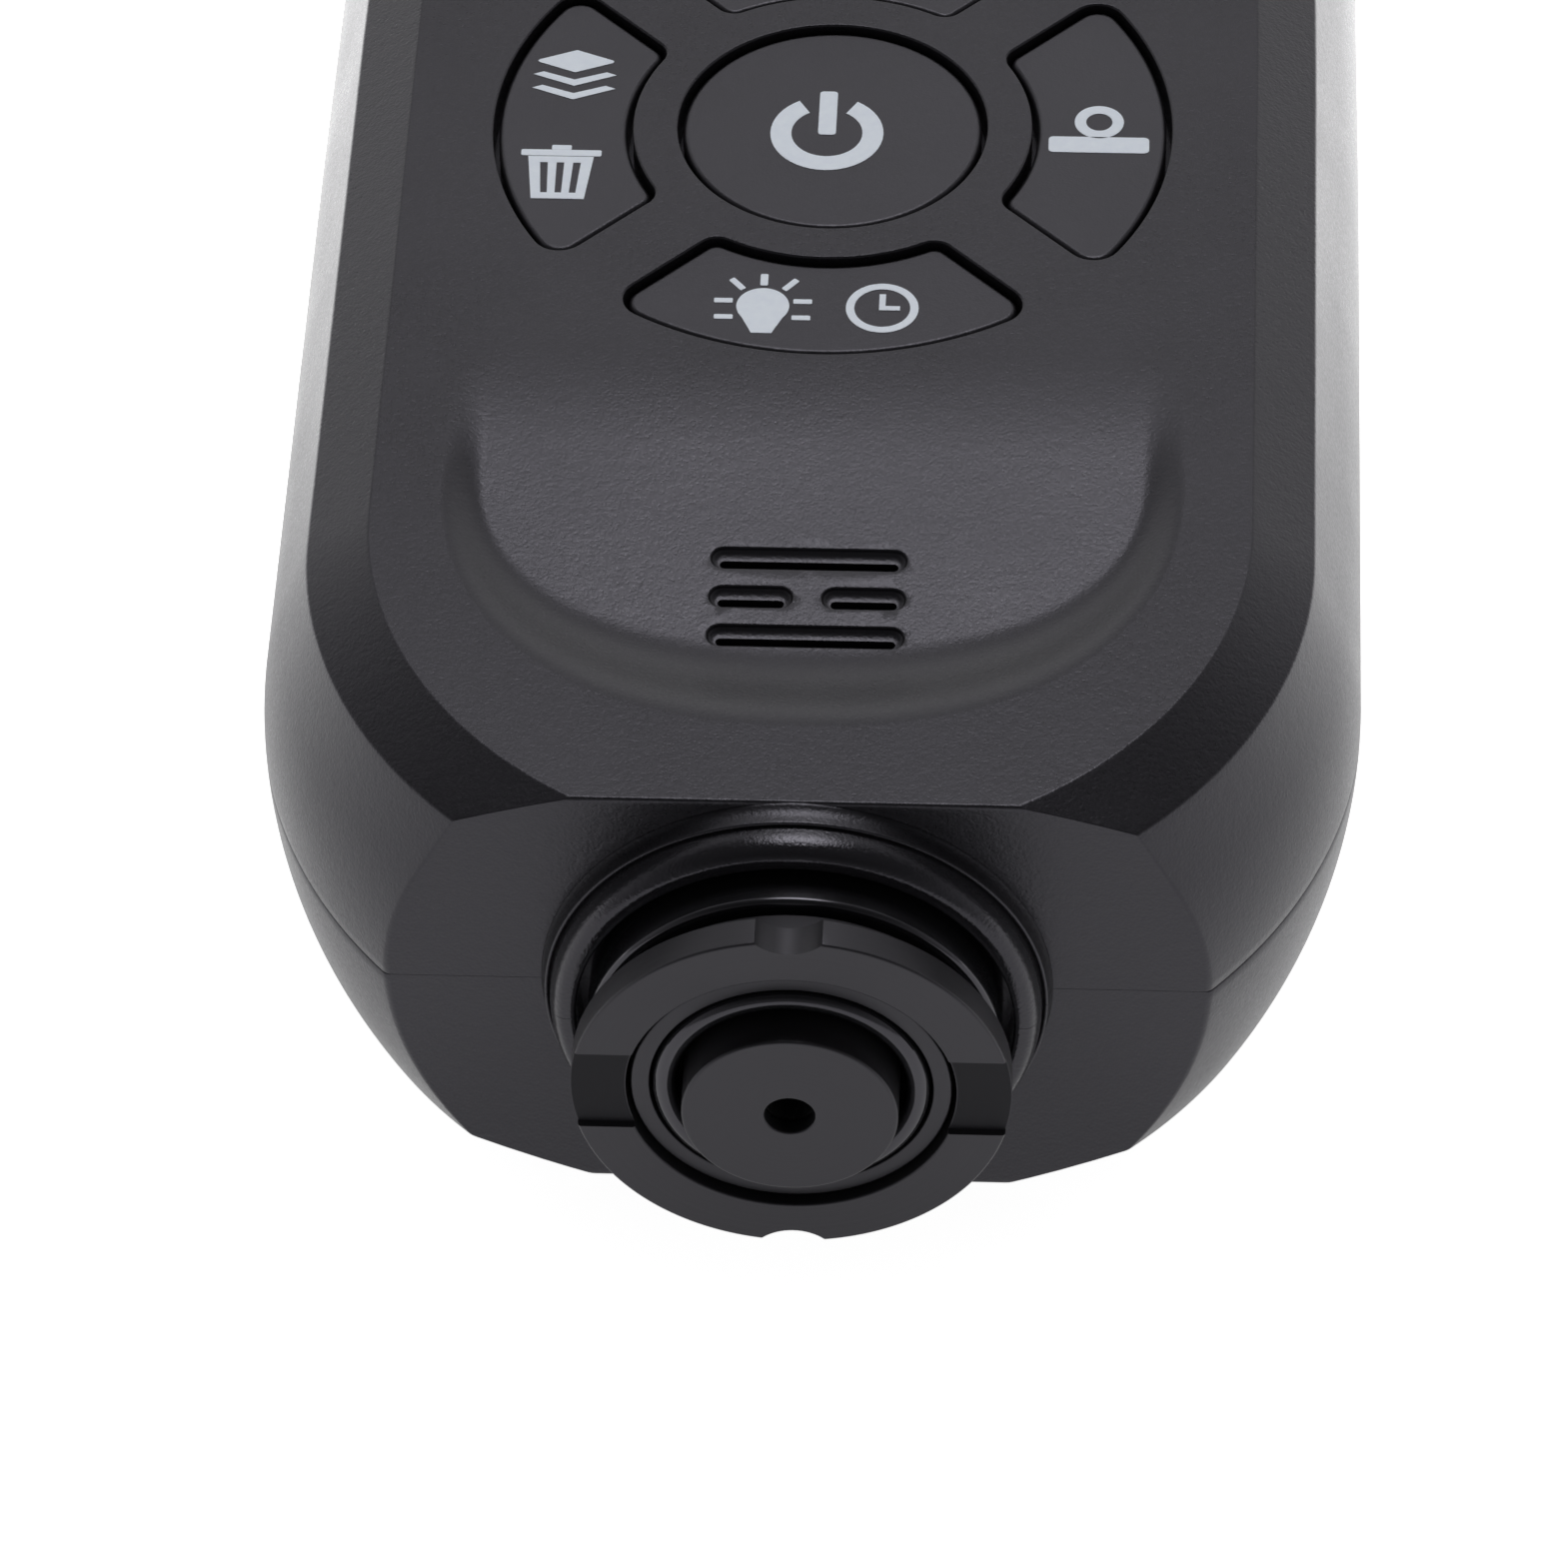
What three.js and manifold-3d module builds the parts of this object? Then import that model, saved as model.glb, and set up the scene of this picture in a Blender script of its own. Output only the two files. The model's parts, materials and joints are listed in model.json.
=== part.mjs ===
// Hand-held coating thickness gauge with a built-in sprung probe, in millimetres.
// Model axes: +X to the right, +Y from the probe to the display, +Z out of the keypad face.
// Every piece is drawn in case coordinates: y = 0 at the flat probe end, z = 0 at the keypad face.
// The exported group stands on its back, with the origin under the middle of its length.
import * as THREE from 'three';
import { mergeVertices } from 'three/addons/utils/BufferGeometryUtils.js';
import Module from 'manifold-3d';

const wasm = await Module();
wasm.setup();

// ---- driving dimensions -------------------------------------------------------------------------

// case
const CASE_LENGTH = 122;
const CASE_DEPTH = 28.35;
const HALF_WIDTH = 29.1; // at the seam, where the probe end's round starts
const SIDE_FLARE = 0.3; // extra half width from the keys upwards
const FLARE_END_Y = 60;
const SEAM_DEPTH = 13.2; // keypad face to seam, and to the probe axis
const SEAM_GAP = 0.3;
const FACE_HALF_WIDTH = 22.98;
const FACE_CHAMFER_DEPTH = 1.81;
const FACE_CHAMFER_HALF_WIDTH = 26.3;
const BACK_HALF_WIDTH = 22.8;
const BACK_CHAMFER_DEPTH = 2.9;
const CROWN_RADIUS = 20; // side wall of the front shell, round at the seam
const CROWN_SLOPE = 0.36; // and straight above it
const END_ARC_Y = 20.45; // centre of the round probe end
const END_ARC_OFFSET = 1.3; // and how far past the middle line it lies
const FACE_ARC_SHIFT = 0.45;
const CORNER_RADIUS = 15; // display end, at the seam
const WALL = 2;
const END_WALL = 2.5;

// thumb rest
const REST_START_Y = 30;
const REST_CENTRE_Y = 24.8;
const REST_RIM = { halfWidth: 19.6, reach: 19.5 };
const REST_FLOOR = { halfWidth: 17.2, reach: 11.6 };
const REST_SLOPE = 0.115;
const REST_SQUARENESS = 2.3;
const REST_WALL = 1.8;

// sound slots
const SLOT_LENGTH = 10.2;
const SLOT_SHORT = 4.35;
const SLOT_WIDTH = 1.4;
const SLOT_RECESS = 0.3; // a slot's mouth is wider, to this depth
const SLOT_LEDGE = 0.35; // how much wider, on every side
const SLOT_PITCH = 2.57;
const SLOT_MIDDLE_Y = 16.4;

// keys
const WHEEL_Y = 52.05;
const POWER_HOLE_RADIUS = 8.49;
const RING_INNER_RADIUS = 10.95;
const RING_OUTER_RADIUS = 18.59;
const RING_WEB = 4.4;
const RING_INNER_CORNER = 1.1;
const RING_TIP_CORNER = 1.5;
const KEY_GAP = 0.3;
const KEY_SINK = 0.3; // how far a key's top stands below the face
const KEY_TRAVEL = 0.8;
const KEY_FLANGE = 0.9;
const KEY_FLANGE_THICKNESS = 0.8;
const STEM_RADIUS = 1.4;
const DOME_RADIUS = 2.6;
const DOME_HEIGHT = 0.45;
const MAT_THICKNESS = 0.8;
const MAT_MARGIN = 0.8; // past the key flanges
const MAT_SKIRT = 1.2;

// display
const WINDOW = { width: 38, height: 34, thickness: 1.2 };
const WINDOW_MIDDLE_Y = 93;
const WINDOW_LEDGE = 2.5;
const LCD_BORDER = 2; // how much smaller than the window the display is
const LCD_THICKNESS = 1.4;
const BACKLIGHT_THICKNESS = 1.5;

// circuit board
const BOARD_THICKNESS = 1.6;
const BOARD_HALF_WIDTH = 21.5;
const CHIP = { width: 10, height: 1.4, middleY: 75 };
const CONNECTOR = { width: 8, length: 5, height: 3, fromBoardEdge: 1 };
const BUZZER = { radius: 5.2, height: 4, gap: 1 };

// probe, lengths measured outwards from the flat probe end; each radius builds on the piece inside it
const PLUNGER_RADIUS = 5.5;
const PLUNGER_GAP = 0.4;
const NOSE_WALL = 1.15;
const SLEEVE_WALL = 0.95;
const COLLAR_GAP = 0.25;
const COLLAR_WALL = 2.8;
const NECK_WALL = 1.6;
const SPIGOT_WALL = 1.1;
const BARREL_WALL = 2.3;
const BARREL_FRONT = 4.4;
const BARREL_SHOULDER = 0.6;
const SPIGOT_END = -5.6;
const BOSS_REACH = 2.85;
const BOSS_GAP = 0.6;
const BOSS_BEAD_RADIUS = 0.78;
const BOSS_SHOULDER = { width: 0.3, reach: 1.6 };
const BOSS_FOOT_INSET = 0.05; // below the keypad face
const COLLAR_BACK = 5.95;
const COLLAR_FRONT = 7.77;
const GROOVE_RADIUS = 2.35;
const GROOVE_DEPTH = 0.85;
const NOTCH_WIDTH = 5.4;
const NOTCH_DEPTH = 0.5;
const SLEEVE_RECESS = 0.5;
const SLEEVE_END = -10;
const NOSE_RECESS = 0.15;
const NOSE_BACK = 2;
const PLUNGER_PROUD = 1.45; // also its travel: it stops level with the collar
const PLUNGER_WALL = 0.8;
const FLANGE_GAP = 0.5; // plunger flange to sleeve
const PLUNGER_HOLE_RADIUS = 1.28;
const CORE_RECESS = 3;
const SPRING_WIRE = 0.5;
const SPRING_TURNS = 5;
const CAP_THICKNESS = 1.4;
const CAP_HOLE_RADIUS = 1.6;
const NUT_THICKNESS = 2;
const PLUNGER_CHAMFER = 0.25;
const PLUNGER_FLANGE_THICKNESS = 1;
const BARREL_CHAMFER = 0.3;
const SPOOL_CORE_RADIUS = 1.9;
const SPOOL_CHEEK = 0.7;
const LEAD_RADIUS = 1.1;

// batteries, AAA size
const BATTERY_RADIUS = 5.25;
const BATTERY_LENGTH = 44.5;
const BATTERY_NUB = { radius: 1.9, length: 0.9 };
const BAY_START_Y = 58;
const BAY_WALL = 1.4;
const CONTACT_SPACE = 3.6;
const DOOR_THICKNESS = 1.8;
const DOOR_LIP = 1.2;
const DOOR_GRIP = { grooves: 4, length: 12, width: 0.8, depth: 0.5, pitch: 1.6, fromEnd: 8 };
const CONTACT_THICKNESS = 0.4;
const CONTACT_HEIGHT = 8;
const CONTACT_TAB_WIDTH = 7;
const CONTACT_COIL = { wideRadius: 3.6, narrowRadius: 2, wire: 0.45, turns: 3, fromWall: 1 };

// case screws
const SCREW_RADIUS = 1.1;
const SCREW_HEAD_RADIUS = 2.1;
const SCREW_HEAD_HEIGHT = 1.5;
const SCREW_LENGTH = 11;
const SCREW_CROSS = { reach: 1.5, halfWidth: 0.3, depth: 0.7 };
const SCREW_GRIP = 3.75; // how far a screw reaches into the front shell's pillar
const PILLAR_RADIUS = 3.2;
const LOWER_SCREWS = { inFromSide: 11.2, y: 27.4 };
const UPPER_SCREWS = { inFromSide: 11.6, inFromEnd: 8.8 };

// clearances
const SEAT_GAP = 0.3;
const RUNNING_GAP = 0.15;

const ROUND = 30; // sides of a round piece
const SMALL_ROUND = 12;

// ---- derived places -----------------------------------------------------------------------------

const SEAM_Z = -SEAM_DEPTH;
const BACK_Z = -CASE_DEPTH;
const TOP_HALF_WIDTH = HALF_WIDTH + SIDE_FLARE;
const FLANGE_TOP_Z = -WALL - SEAT_GAP;
const FLANGE_BOTTOM_Z = FLANGE_TOP_Z - KEY_FLANGE_THICKNESS;
const MAT_TOP_Z = FLANGE_BOTTOM_Z - KEY_TRAVEL - RUNNING_GAP;
const MAT_BOTTOM_Z = MAT_TOP_Z - MAT_THICKNESS;
const DOME_TOP_Z = MAT_BOTTOM_Z - RUNNING_GAP;
const STEM_BOTTOM_Z = DOME_TOP_Z + KEY_TRAVEL + RUNNING_GAP;
const BOARD_TOP_Z = DOME_TOP_Z - DOME_HEIGHT - RUNNING_GAP;
const BOARD_BOTTOM_Z = BOARD_TOP_Z - BOARD_THICKNESS;
const PLUNGER_FRONT = COLLAR_FRONT + PLUNGER_PROUD;
const NOSE_BORE_RADIUS = PLUNGER_RADIUS + PLUNGER_GAP;
const NOSE_RADIUS = NOSE_BORE_RADIUS + NOSE_WALL;
const SLEEVE_BORE_RADIUS = NOSE_RADIUS + RUNNING_GAP;
const PLUNGER_FLANGE_RADIUS = SLEEVE_BORE_RADIUS - FLANGE_GAP;
const SLEEVE_RADIUS = SLEEVE_BORE_RADIUS + SLEEVE_WALL;
const COLLAR_BORE_RADIUS = SLEEVE_RADIUS + COLLAR_GAP;
const COLLAR_RADIUS = COLLAR_BORE_RADIUS + COLLAR_WALL;
const NECK_RADIUS = COLLAR_BORE_RADIUS + NECK_WALL;
const BARREL_BORE_RADIUS = SLEEVE_RADIUS + RUNNING_GAP;
const SPIGOT_RADIUS = BARREL_BORE_RADIUS + SPIGOT_WALL;
const BARREL_RADIUS = BARREL_BORE_RADIUS + BARREL_WALL;
const BOSS_BORE_RADIUS = BARREL_RADIUS + BOSS_GAP;
const BATTERY_Z = BACK_Z + DOOR_THICKNESS + 2 * SEAT_GAP + BATTERY_RADIUS;
const BATTERY_X = BATTERY_RADIUS + SEAT_GAP;
const BAY_HALF_WIDTH = BATTERY_X + BATTERY_RADIUS + SEAT_GAP;
const BAY_LENGTH = BATTERY_LENGTH + BATTERY_NUB.length + CONTACT_SPACE + 2;
const BAY_TOP_Z = BATTERY_Z + BATTERY_RADIUS + SEAT_GAP;
const SCREW_HEAD_Z = SEAM_Z + SCREW_GRIP - SCREW_LENGTH - SCREW_HEAD_HEIGHT;
const LOWER_SCREW_X = HALF_WIDTH - LOWER_SCREWS.inFromSide;
const UPPER_SCREW_X = TOP_HALF_WIDTH - UPPER_SCREWS.inFromSide;
const UPPER_SCREW_Y = CASE_LENGTH - UPPER_SCREWS.inFromEnd;
const SCREW_PLACES = [
  [-LOWER_SCREW_X, LOWER_SCREWS.y],
  [LOWER_SCREW_X, LOWER_SCREWS.y],
  [-UPPER_SCREW_X, UPPER_SCREW_Y],
  [UPPER_SCREW_X, UPPER_SCREW_Y],
];
const BOARD_START_Y = LOWER_SCREWS.y + PILLAR_RADIUS + 2 * SEAT_GAP;
const BOARD_END_Y = UPPER_SCREW_Y - PILLAR_RADIUS - SEAT_GAP;

// ---- materials ----------------------------------------------------------------------------------

function finish(color, roughness, metalness = 0) {
  return { color, roughness, metalness };
}

const FINISH = {
  caseBlack: finish(0x2b2a2e, 0.55),
  keyBlack: finish(0x303034, 0.5),
  turnedBlack: finish(0x26262a, 0.4),
  glossBlack: finish(0x1c1c1f, 0.2),
  glass: finish(0x1b2420, 0.08),
  lcd: finish(0x9aa68c, 0.3),
  backlight: finish(0xe6e6e0, 0.6),
  board: finish(0x1f5a36, 0.5),
  chip: finish(0x18181a, 0.5),
  silicone: finish(0x3a3a3c, 0.8),
  steel: finish(0xb9bcc0, 0.3, 1),
  copper: finish(0xb4693a, 0.35, 1),
  ferrite: finish(0x2e2c2b, 0.7),
  batterySkin: finish(0x3d5f8a, 0.4),
};

// ---- mesh helpers -------------------------------------------------------------------------------

// A closed manifold-3d solid from a three.js geometry.
function solid(geometry) {
  const bare = geometry.clone();
  bare.deleteAttribute('normal');
  bare.deleteAttribute('uv');
  const merged = mergeVertices(bare, 1e-4);
  return new wasm.Manifold(new wasm.Mesh({
    numProp: 3,
    vertProperties: new Float32Array(merged.attributes.position.array),
    triVerts: new Uint32Array(merged.index.array),
  }));
}

function geometryOf(manifold) {
  const mesh = manifold.getMesh();
  const geometry = new THREE.BufferGeometry();
  geometry.setAttribute('position', new THREE.BufferAttribute(mesh.vertProperties, 3));
  geometry.setIndex(new THREE.BufferAttribute(mesh.triVerts, 1));
  geometry.computeVertexNormals();
  return geometry;
}

function part(name, shape, look) {
  const geometry = shape instanceof THREE.BufferGeometry ? shape : geometryOf(shape);
  const mesh = new THREE.Mesh(geometry, new THREE.MeshStandardMaterial(look));
  mesh.name = name;
  return mesh;
}

// A box from its lowest to its highest corner.
function block(low, high) {
  const size = high.map((value, axis) => value - low[axis]);
  const middle = high.map((value, axis) => (value + low[axis]) / 2);
  return new THREE.BoxGeometry(...size).translate(...middle);
}

// A flat outline drawn in X and Y, filled between two heights.
function plate(shape, bottom, top, curveSegments = 8) {
  const options = { depth: top - bottom, bevelEnabled: false, curveSegments };
  return new THREE.ExtrudeGeometry(shape, options).translate(0, 0, bottom);
}

// A round post along Z.
function post(x, y, radius, bottom, top, sides = SMALL_ROUND) {
  const geometry = new THREE.CylinderGeometry(radius, radius, top - bottom, sides);
  return geometry.rotateX(Math.PI / 2).translate(x, y, (bottom + top) / 2);
}

// A piece turned about the probe axis. The profile lists [radius, distance outwards], and runs
// counter-clockwise with radius to the right and outwards downwards.
function turned(profile, sides = ROUND) {
  const points = profile.map(([radius, out]) => new THREE.Vector2(radius, -out));
  const last = profile[profile.length - 1];
  const closed = profile[0][0] === last[0] && profile[0][1] === last[1];
  if (!closed && (profile[0][0] > 0 || last[0] > 0)) {
    points.push(points[0].clone());
  }
  return new THREE.LatheGeometry(points, sides).translate(0, 0, SEAM_Z);
}

// A tube about the probe axis between two distances outwards.
function tube(bore, radius, back, front, sides = ROUND) {
  return turned([[bore, front], [radius, front], [radius, back], [bore, back]], sides);
}

// A skin over rings of equal point count, lowest first, closed by a flat cap at each end.
function loft(rings) {
  const count = rings[0].length;
  const positions = rings.flat().flatMap((point) => [point.x, point.y, point.z]);
  const faces = [];
  for (let level = 0; level < rings.length - 1; level += 1) {
    for (let i = 0; i < count; i += 1) {
      const a = level * count + i;
      const b = level * count + ((i + 1) % count);
      faces.push(a, b, b + count, a, b + count, a + count);
    }
  }
  const capFaces = (ring) => THREE.ShapeUtils.triangulateShape(
    ring.map((point) => new THREE.Vector2(point.x, point.y)), []);
  const topStart = (rings.length - 1) * count;
  for (const [a, b, c] of capFaces(rings[0])) {
    faces.push(a, c, b);
  }
  for (const [a, b, c] of capFaces(rings[rings.length - 1])) {
    faces.push(topStart + a, topStart + b, topStart + c);
  }
  const geometry = new THREE.BufferGeometry();
  geometry.setAttribute('position', new THREE.Float32BufferAttribute(positions, 3));
  geometry.setIndex(faces);
  return geometry;
}

// ---- case outline -------------------------------------------------------------------------------

// The case seen from the front at one height, inset from its widest outline.
function caseRing(z, inset, { flatY = 0, arcShift = 0 } = {}) {
  const arcY = END_ARC_Y + arcShift;
  const radius = HALF_WIDTH - inset + END_ARC_OFFSET;
  const sweep = Math.asin((arcY - flatY) / radius);
  const right = [];
  const arcSteps = 8;
  for (let i = 0; i <= arcSteps; i += 1) {
    const angle = -sweep * (1 - i / arcSteps);
    right.push([radius * Math.cos(angle) - END_ARC_OFFSET, arcY + radius * Math.sin(angle)]);
  }
  right.push([TOP_HALF_WIDTH - inset, FLARE_END_Y]);
  const cornerSteps = 5;
  const cornerRadius = CORNER_RADIUS - inset;
  for (let i = 0; i <= cornerSteps; i += 1) {
    const angle = (Math.PI / 2) * (i / cornerSteps);
    right.push([
      TOP_HALF_WIDTH - CORNER_RADIUS + cornerRadius * Math.cos(angle),
      CASE_LENGTH - CORNER_RADIUS + cornerRadius * Math.sin(angle),
    ]);
  }
  const left = right.map(([x, y]) => [-x, y]).reverse();
  return [...right, ...left].map(([x, y]) => new THREE.Vector3(x, y, z));
}

// How far the side wall stands in from its widest line, at a height above or below the seam.
function frontInset(height) {
  const tangent = CROWN_SLOPE * CROWN_RADIUS;
  if (height <= tangent) return (height * height) / (2 * CROWN_RADIUS);
  return (tangent * tangent) / (2 * CROWN_RADIUS) + CROWN_SLOPE * (height - tangent);
}

function backInset(height) {
  const full = CASE_DEPTH - SEAM_DEPTH - BACK_CHAMFER_DEPTH;
  return (HALF_WIDTH - FACE_CHAMFER_HALF_WIDTH) * (height / full) ** 2;
}

// The rings of the case, or of its hollow when a wall is given.
function caseRings(wall) {
  const flatY = wall > 0 ? END_WALL : 0;
  const backHeight = CASE_DEPTH - SEAM_DEPTH - BACK_CHAMFER_DEPTH;
  const frontHeight = SEAM_DEPTH - FACE_CHAMFER_DEPTH;
  const steps = 3;
  const rings = [];
  const cap = { flatY, arcShift: FACE_ARC_SHIFT };
  rings.push(caseRing(BACK_Z + wall, HALF_WIDTH - BACK_HALF_WIDTH + wall / 2, cap));
  for (let i = steps; i > 0; i -= 1) {
    const height = (backHeight * i) / steps;
    const lift = i === steps ? wall / 2 : 0;
    rings.push(caseRing(SEAM_Z - height + lift, backInset(height) + wall, { flatY }));
  }
  rings.push(caseRing(SEAM_Z, wall, { flatY }));
  for (let i = 1; i <= steps; i += 1) {
    const height = (frontHeight * i) / steps;
    const drop = i === steps ? wall / 2 : 0;
    rings.push(caseRing(SEAM_Z + height - drop, frontInset(height) + wall, { flatY }));
  }
  rings.push(caseRing(-wall, HALF_WIDTH - FACE_HALF_WIDTH + wall / 2, cap));
  return rings;
}

// ---- thumb rest ---------------------------------------------------------------------------------

// A U-shaped outline, open towards the keys: a squared half ellipse with straight sides.
function restOutline({ halfWidth, reach }, steps = 12) {
  const exponent = 2 / REST_SQUARENESS;
  const points = [];
  const topY = REST_START_Y + 1;
  points.push([-halfWidth, topY]);
  for (let i = 0; i <= steps; i += 1) {
    const angle = Math.PI * (i / steps);
    const across = -Math.cos(angle);
    const along = Math.sin(angle);
    points.push([
      halfWidth * Math.sign(across) * Math.abs(across) ** exponent,
      REST_CENTRE_Y - reach * along ** exponent,
    ]);
  }
  points.push([halfWidth, topY]);
  return points;
}

// The scooped hollow above its floor, lowered by a wall to give the wall's underside.
function restSolid(lowered, topZ) {
  const floor = restOutline(REST_FLOOR);
  const rim = restOutline(REST_RIM);
  const steps = 4;
  const rimLift = 0.02;
  const rings = [];
  for (let i = 0; i <= steps; i += 1) {
    const t = i / steps;
    const rise = t * t * (3 - 2 * t);
    rings.push(floor.map(([x, y], k) => {
      const px = x + (rim[k][0] - x) * t;
      const py = y + (rim[k][1] - y) * t;
      const depth = REST_SLOPE * (REST_START_Y - py);
      return new THREE.Vector3(px, py, -depth * (1 - rise) + rimLift * t - lowered);
    }));
  }
  rings.push(rim.map(([x, y]) => new THREE.Vector3(x, y, topZ)));
  return solid(loft(rings));
}

function soundSlots() {
  const rows = [
    [0, SLOT_PITCH, SLOT_LENGTH],
    [0, -SLOT_PITCH, SLOT_LENGTH],
    [(SLOT_SHORT - SLOT_LENGTH) / 2, 0, SLOT_SHORT],
    [(SLOT_LENGTH - SLOT_SHORT) / 2, 0, SLOT_SHORT],
  ];
  return rows.flatMap(([x, rowY, length]) => {
    const y = SLOT_MIDDLE_Y + rowY;
    const reach = (length - SLOT_WIDTH) / 2;
    const floorZ = -REST_SLOPE * (REST_START_Y - y);
    const slot = (radius, bottom) => {
      const shape = new THREE.Shape();
      shape.absarc(x + reach, y, radius, -Math.PI / 2, Math.PI / 2);
      shape.absarc(x - reach, y, radius, Math.PI / 2, (3 * Math.PI) / 2);
      return solid(plate(shape, bottom, 1, 4));
    };
    const mouth = slot(SLOT_WIDTH / 2, floorZ - SLOT_RECESS);
    const throat = slot(SLOT_WIDTH / 2 - SLOT_LEDGE, floorZ - REST_WALL - 1);
    return [mouth, throat];
  });
}

// ---- keys ---------------------------------------------------------------------------------------

const KEY_TURNS = { key_down: 0, key_right: 1, key_up: 2, key_left: 3 };
const STEM_REACH = (RING_INNER_RADIUS + RING_OUTER_RADIUS) / 2;

// One ring key seen from the front, about the wheel's centre, pointing along -Y. Its ends are
// parallel to the diagonals. grow widens it on every side.
function ringKeyShape(grow) {
  const inner = RING_INNER_RADIUS - grow;
  const outer = RING_OUTER_RADIUS + grow;
  const web = RING_WEB / 2 - grow;
  const tipCorner = RING_TIP_CORNER + grow;
  const innerCorner = RING_INNER_CORNER + grow;
  const cornerAt = (corner, distance) => {
    const gap = (web + corner) * Math.SQRT2;
    const along = (gap + Math.sqrt(2 * distance * distance - gap * gap)) / 2;
    return new THREE.Vector2(along - gap, -along);
  };
  const tip = cornerAt(tipCorner, outer - tipCorner);
  const root = cornerAt(innerCorner, inner + innerCorner);
  const tipAngle = Math.atan2(tip.y, tip.x);
  const rootAngle = Math.atan2(root.y, root.x);
  const half = Math.PI / 2;
  const endAngle = Math.PI / 4;
  const shape = new THREE.Shape();
  shape.absarc(0, 0, outer, -Math.PI - tipAngle, tipAngle);
  shape.absarc(tip.x, tip.y, tipCorner, tipAngle, endAngle);
  shape.absarc(root.x, root.y, innerCorner, endAngle, rootAngle + Math.PI);
  shape.absarc(0, 0, inner, rootAngle, -Math.PI - rootAngle, true);
  shape.absarc(-root.x, root.y, innerCorner, -rootAngle, half + endAngle);
  shape.absarc(-tip.x, tip.y, tipCorner, half + endAngle, Math.PI - tipAngle);
  return shape;
}

function discShape(radius) {
  const shape = new THREE.Shape();
  shape.absarc(0, 0, radius, 0, 2 * Math.PI);
  return shape;
}

function ringPlate(turns, grow, bottom, top) {
  const geometry = plate(ringKeyShape(grow), bottom, top, 4);
  return solid(geometry.rotateZ((turns * Math.PI) / 2).translate(0, WHEEL_Y, 0));
}

function powerPlate(grow, bottom, top) {
  const geometry = plate(discShape(POWER_HOLE_RADIUS + grow), bottom, top, SMALL_ROUND);
  return solid(geometry.translate(0, WHEEL_Y, 0));
}

function keyPlaces() {
  const places = { key_power: [0, WHEEL_Y] };
  for (const [name, turns] of Object.entries(KEY_TURNS)) {
    const angle = -Math.PI / 2 + (turns * Math.PI) / 2;
    places[name] = [STEM_REACH * Math.cos(angle), WHEEL_Y + STEM_REACH * Math.sin(angle)];
  }
  return places;
}

function keyHoles(grow = 0) {
  const rings = Object.values(KEY_TURNS).map((turns) => ringPlate(turns, grow, -2 * WALL, 1));
  return [powerPlate(grow, -2 * WALL, 1), ...rings];
}

function keys() {
  const group = new THREE.Group();
  for (const [name, [x, y]] of Object.entries(keyPlaces())) {
    const turns = KEY_TURNS[name];
    const layer = (grow, bottom, top) => (
      name === 'key_power' ? powerPlate(grow, bottom, top) : ringPlate(turns, grow, bottom, top));
    const cap = layer(-KEY_GAP, FLANGE_BOTTOM_Z, -KEY_SINK);
    const flange = layer(KEY_FLANGE, FLANGE_BOTTOM_Z, FLANGE_TOP_Z);
    const stem = solid(post(x, y, STEM_RADIUS, STEM_BOTTOM_Z, FLANGE_BOTTOM_Z + 0.2));
    group.add(part(name, cap.add(flange).add(stem), FINISH.keyBlack));
  }
  return group;
}

function keypadMat() {
  const group = new THREE.Group();
  const reach = RING_OUTER_RADIUS + KEY_FLANGE + MAT_MARGIN;
  const low = [-reach, WHEEL_Y - reach];
  const high = [reach, WHEEL_Y + reach];
  let mat = solid(block([...low, BOARD_TOP_Z + SEAT_GAP / 2], [...high, MAT_TOP_Z]));
  const inside = block(
    [low[0] + MAT_SKIRT, low[1] + MAT_SKIRT, BOARD_TOP_Z - 1],
    [high[0] - MAT_SKIRT, high[1] - MAT_SKIRT, MAT_BOTTOM_Z]);
  mat = mat.subtract(solid(inside));
  for (const [name, [x, y]] of Object.entries(keyPlaces())) {
    const hole = post(x, y, STEM_RADIUS + RUNNING_GAP, MAT_BOTTOM_Z - 1, MAT_TOP_Z + 1);
    mat = mat.subtract(solid(hole));
    const dome = new THREE.LatheGeometry([
      new THREE.Vector2(0, 0),
      new THREE.Vector2(DOME_RADIUS, 0),
      new THREE.Vector2(DOME_RADIUS * 0.8, DOME_HEIGHT * 0.6),
      new THREE.Vector2(DOME_RADIUS * 0.45, DOME_HEIGHT * 0.95),
      new THREE.Vector2(0, DOME_HEIGHT),
    ], SMALL_ROUND);
    dome.rotateX(Math.PI / 2).translate(x, y, DOME_TOP_Z - DOME_HEIGHT);
    group.add(part(name.replace('key', 'dome'), dome, FINISH.steel));
  }
  group.add(part('keypad_mat', mat, FINISH.silicone));
  return group;
}

// ---- display and board --------------------------------------------------------------------------

function windowBlock(shrink, bottom, top) {
  const halfWidth = WINDOW.width / 2 - shrink;
  const halfHeight = WINDOW.height / 2 - shrink;
  return block(
    [-halfWidth, WINDOW_MIDDLE_Y - halfHeight, bottom],
    [halfWidth, WINDOW_MIDDLE_Y + halfHeight, top]);
}

function display() {
  const group = new THREE.Group();
  const lcdTop = -WALL - SEAT_GAP;
  const lcdBottom = lcdTop - LCD_THICKNESS;
  const lightTop = lcdBottom - RUNNING_GAP;
  group.add(part('display_window', windowBlock(SEAT_GAP, -WINDOW.thickness, 0), FINISH.glass));
  group.add(part('lcd_glass', windowBlock(LCD_BORDER, lcdBottom, lcdTop), FINISH.lcd));
  const light = windowBlock(LCD_BORDER, lightTop - BACKLIGHT_THICKNESS, lightTop);
  group.add(part('lcd_backlight', light, FINISH.backlight));
  return group;
}

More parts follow.
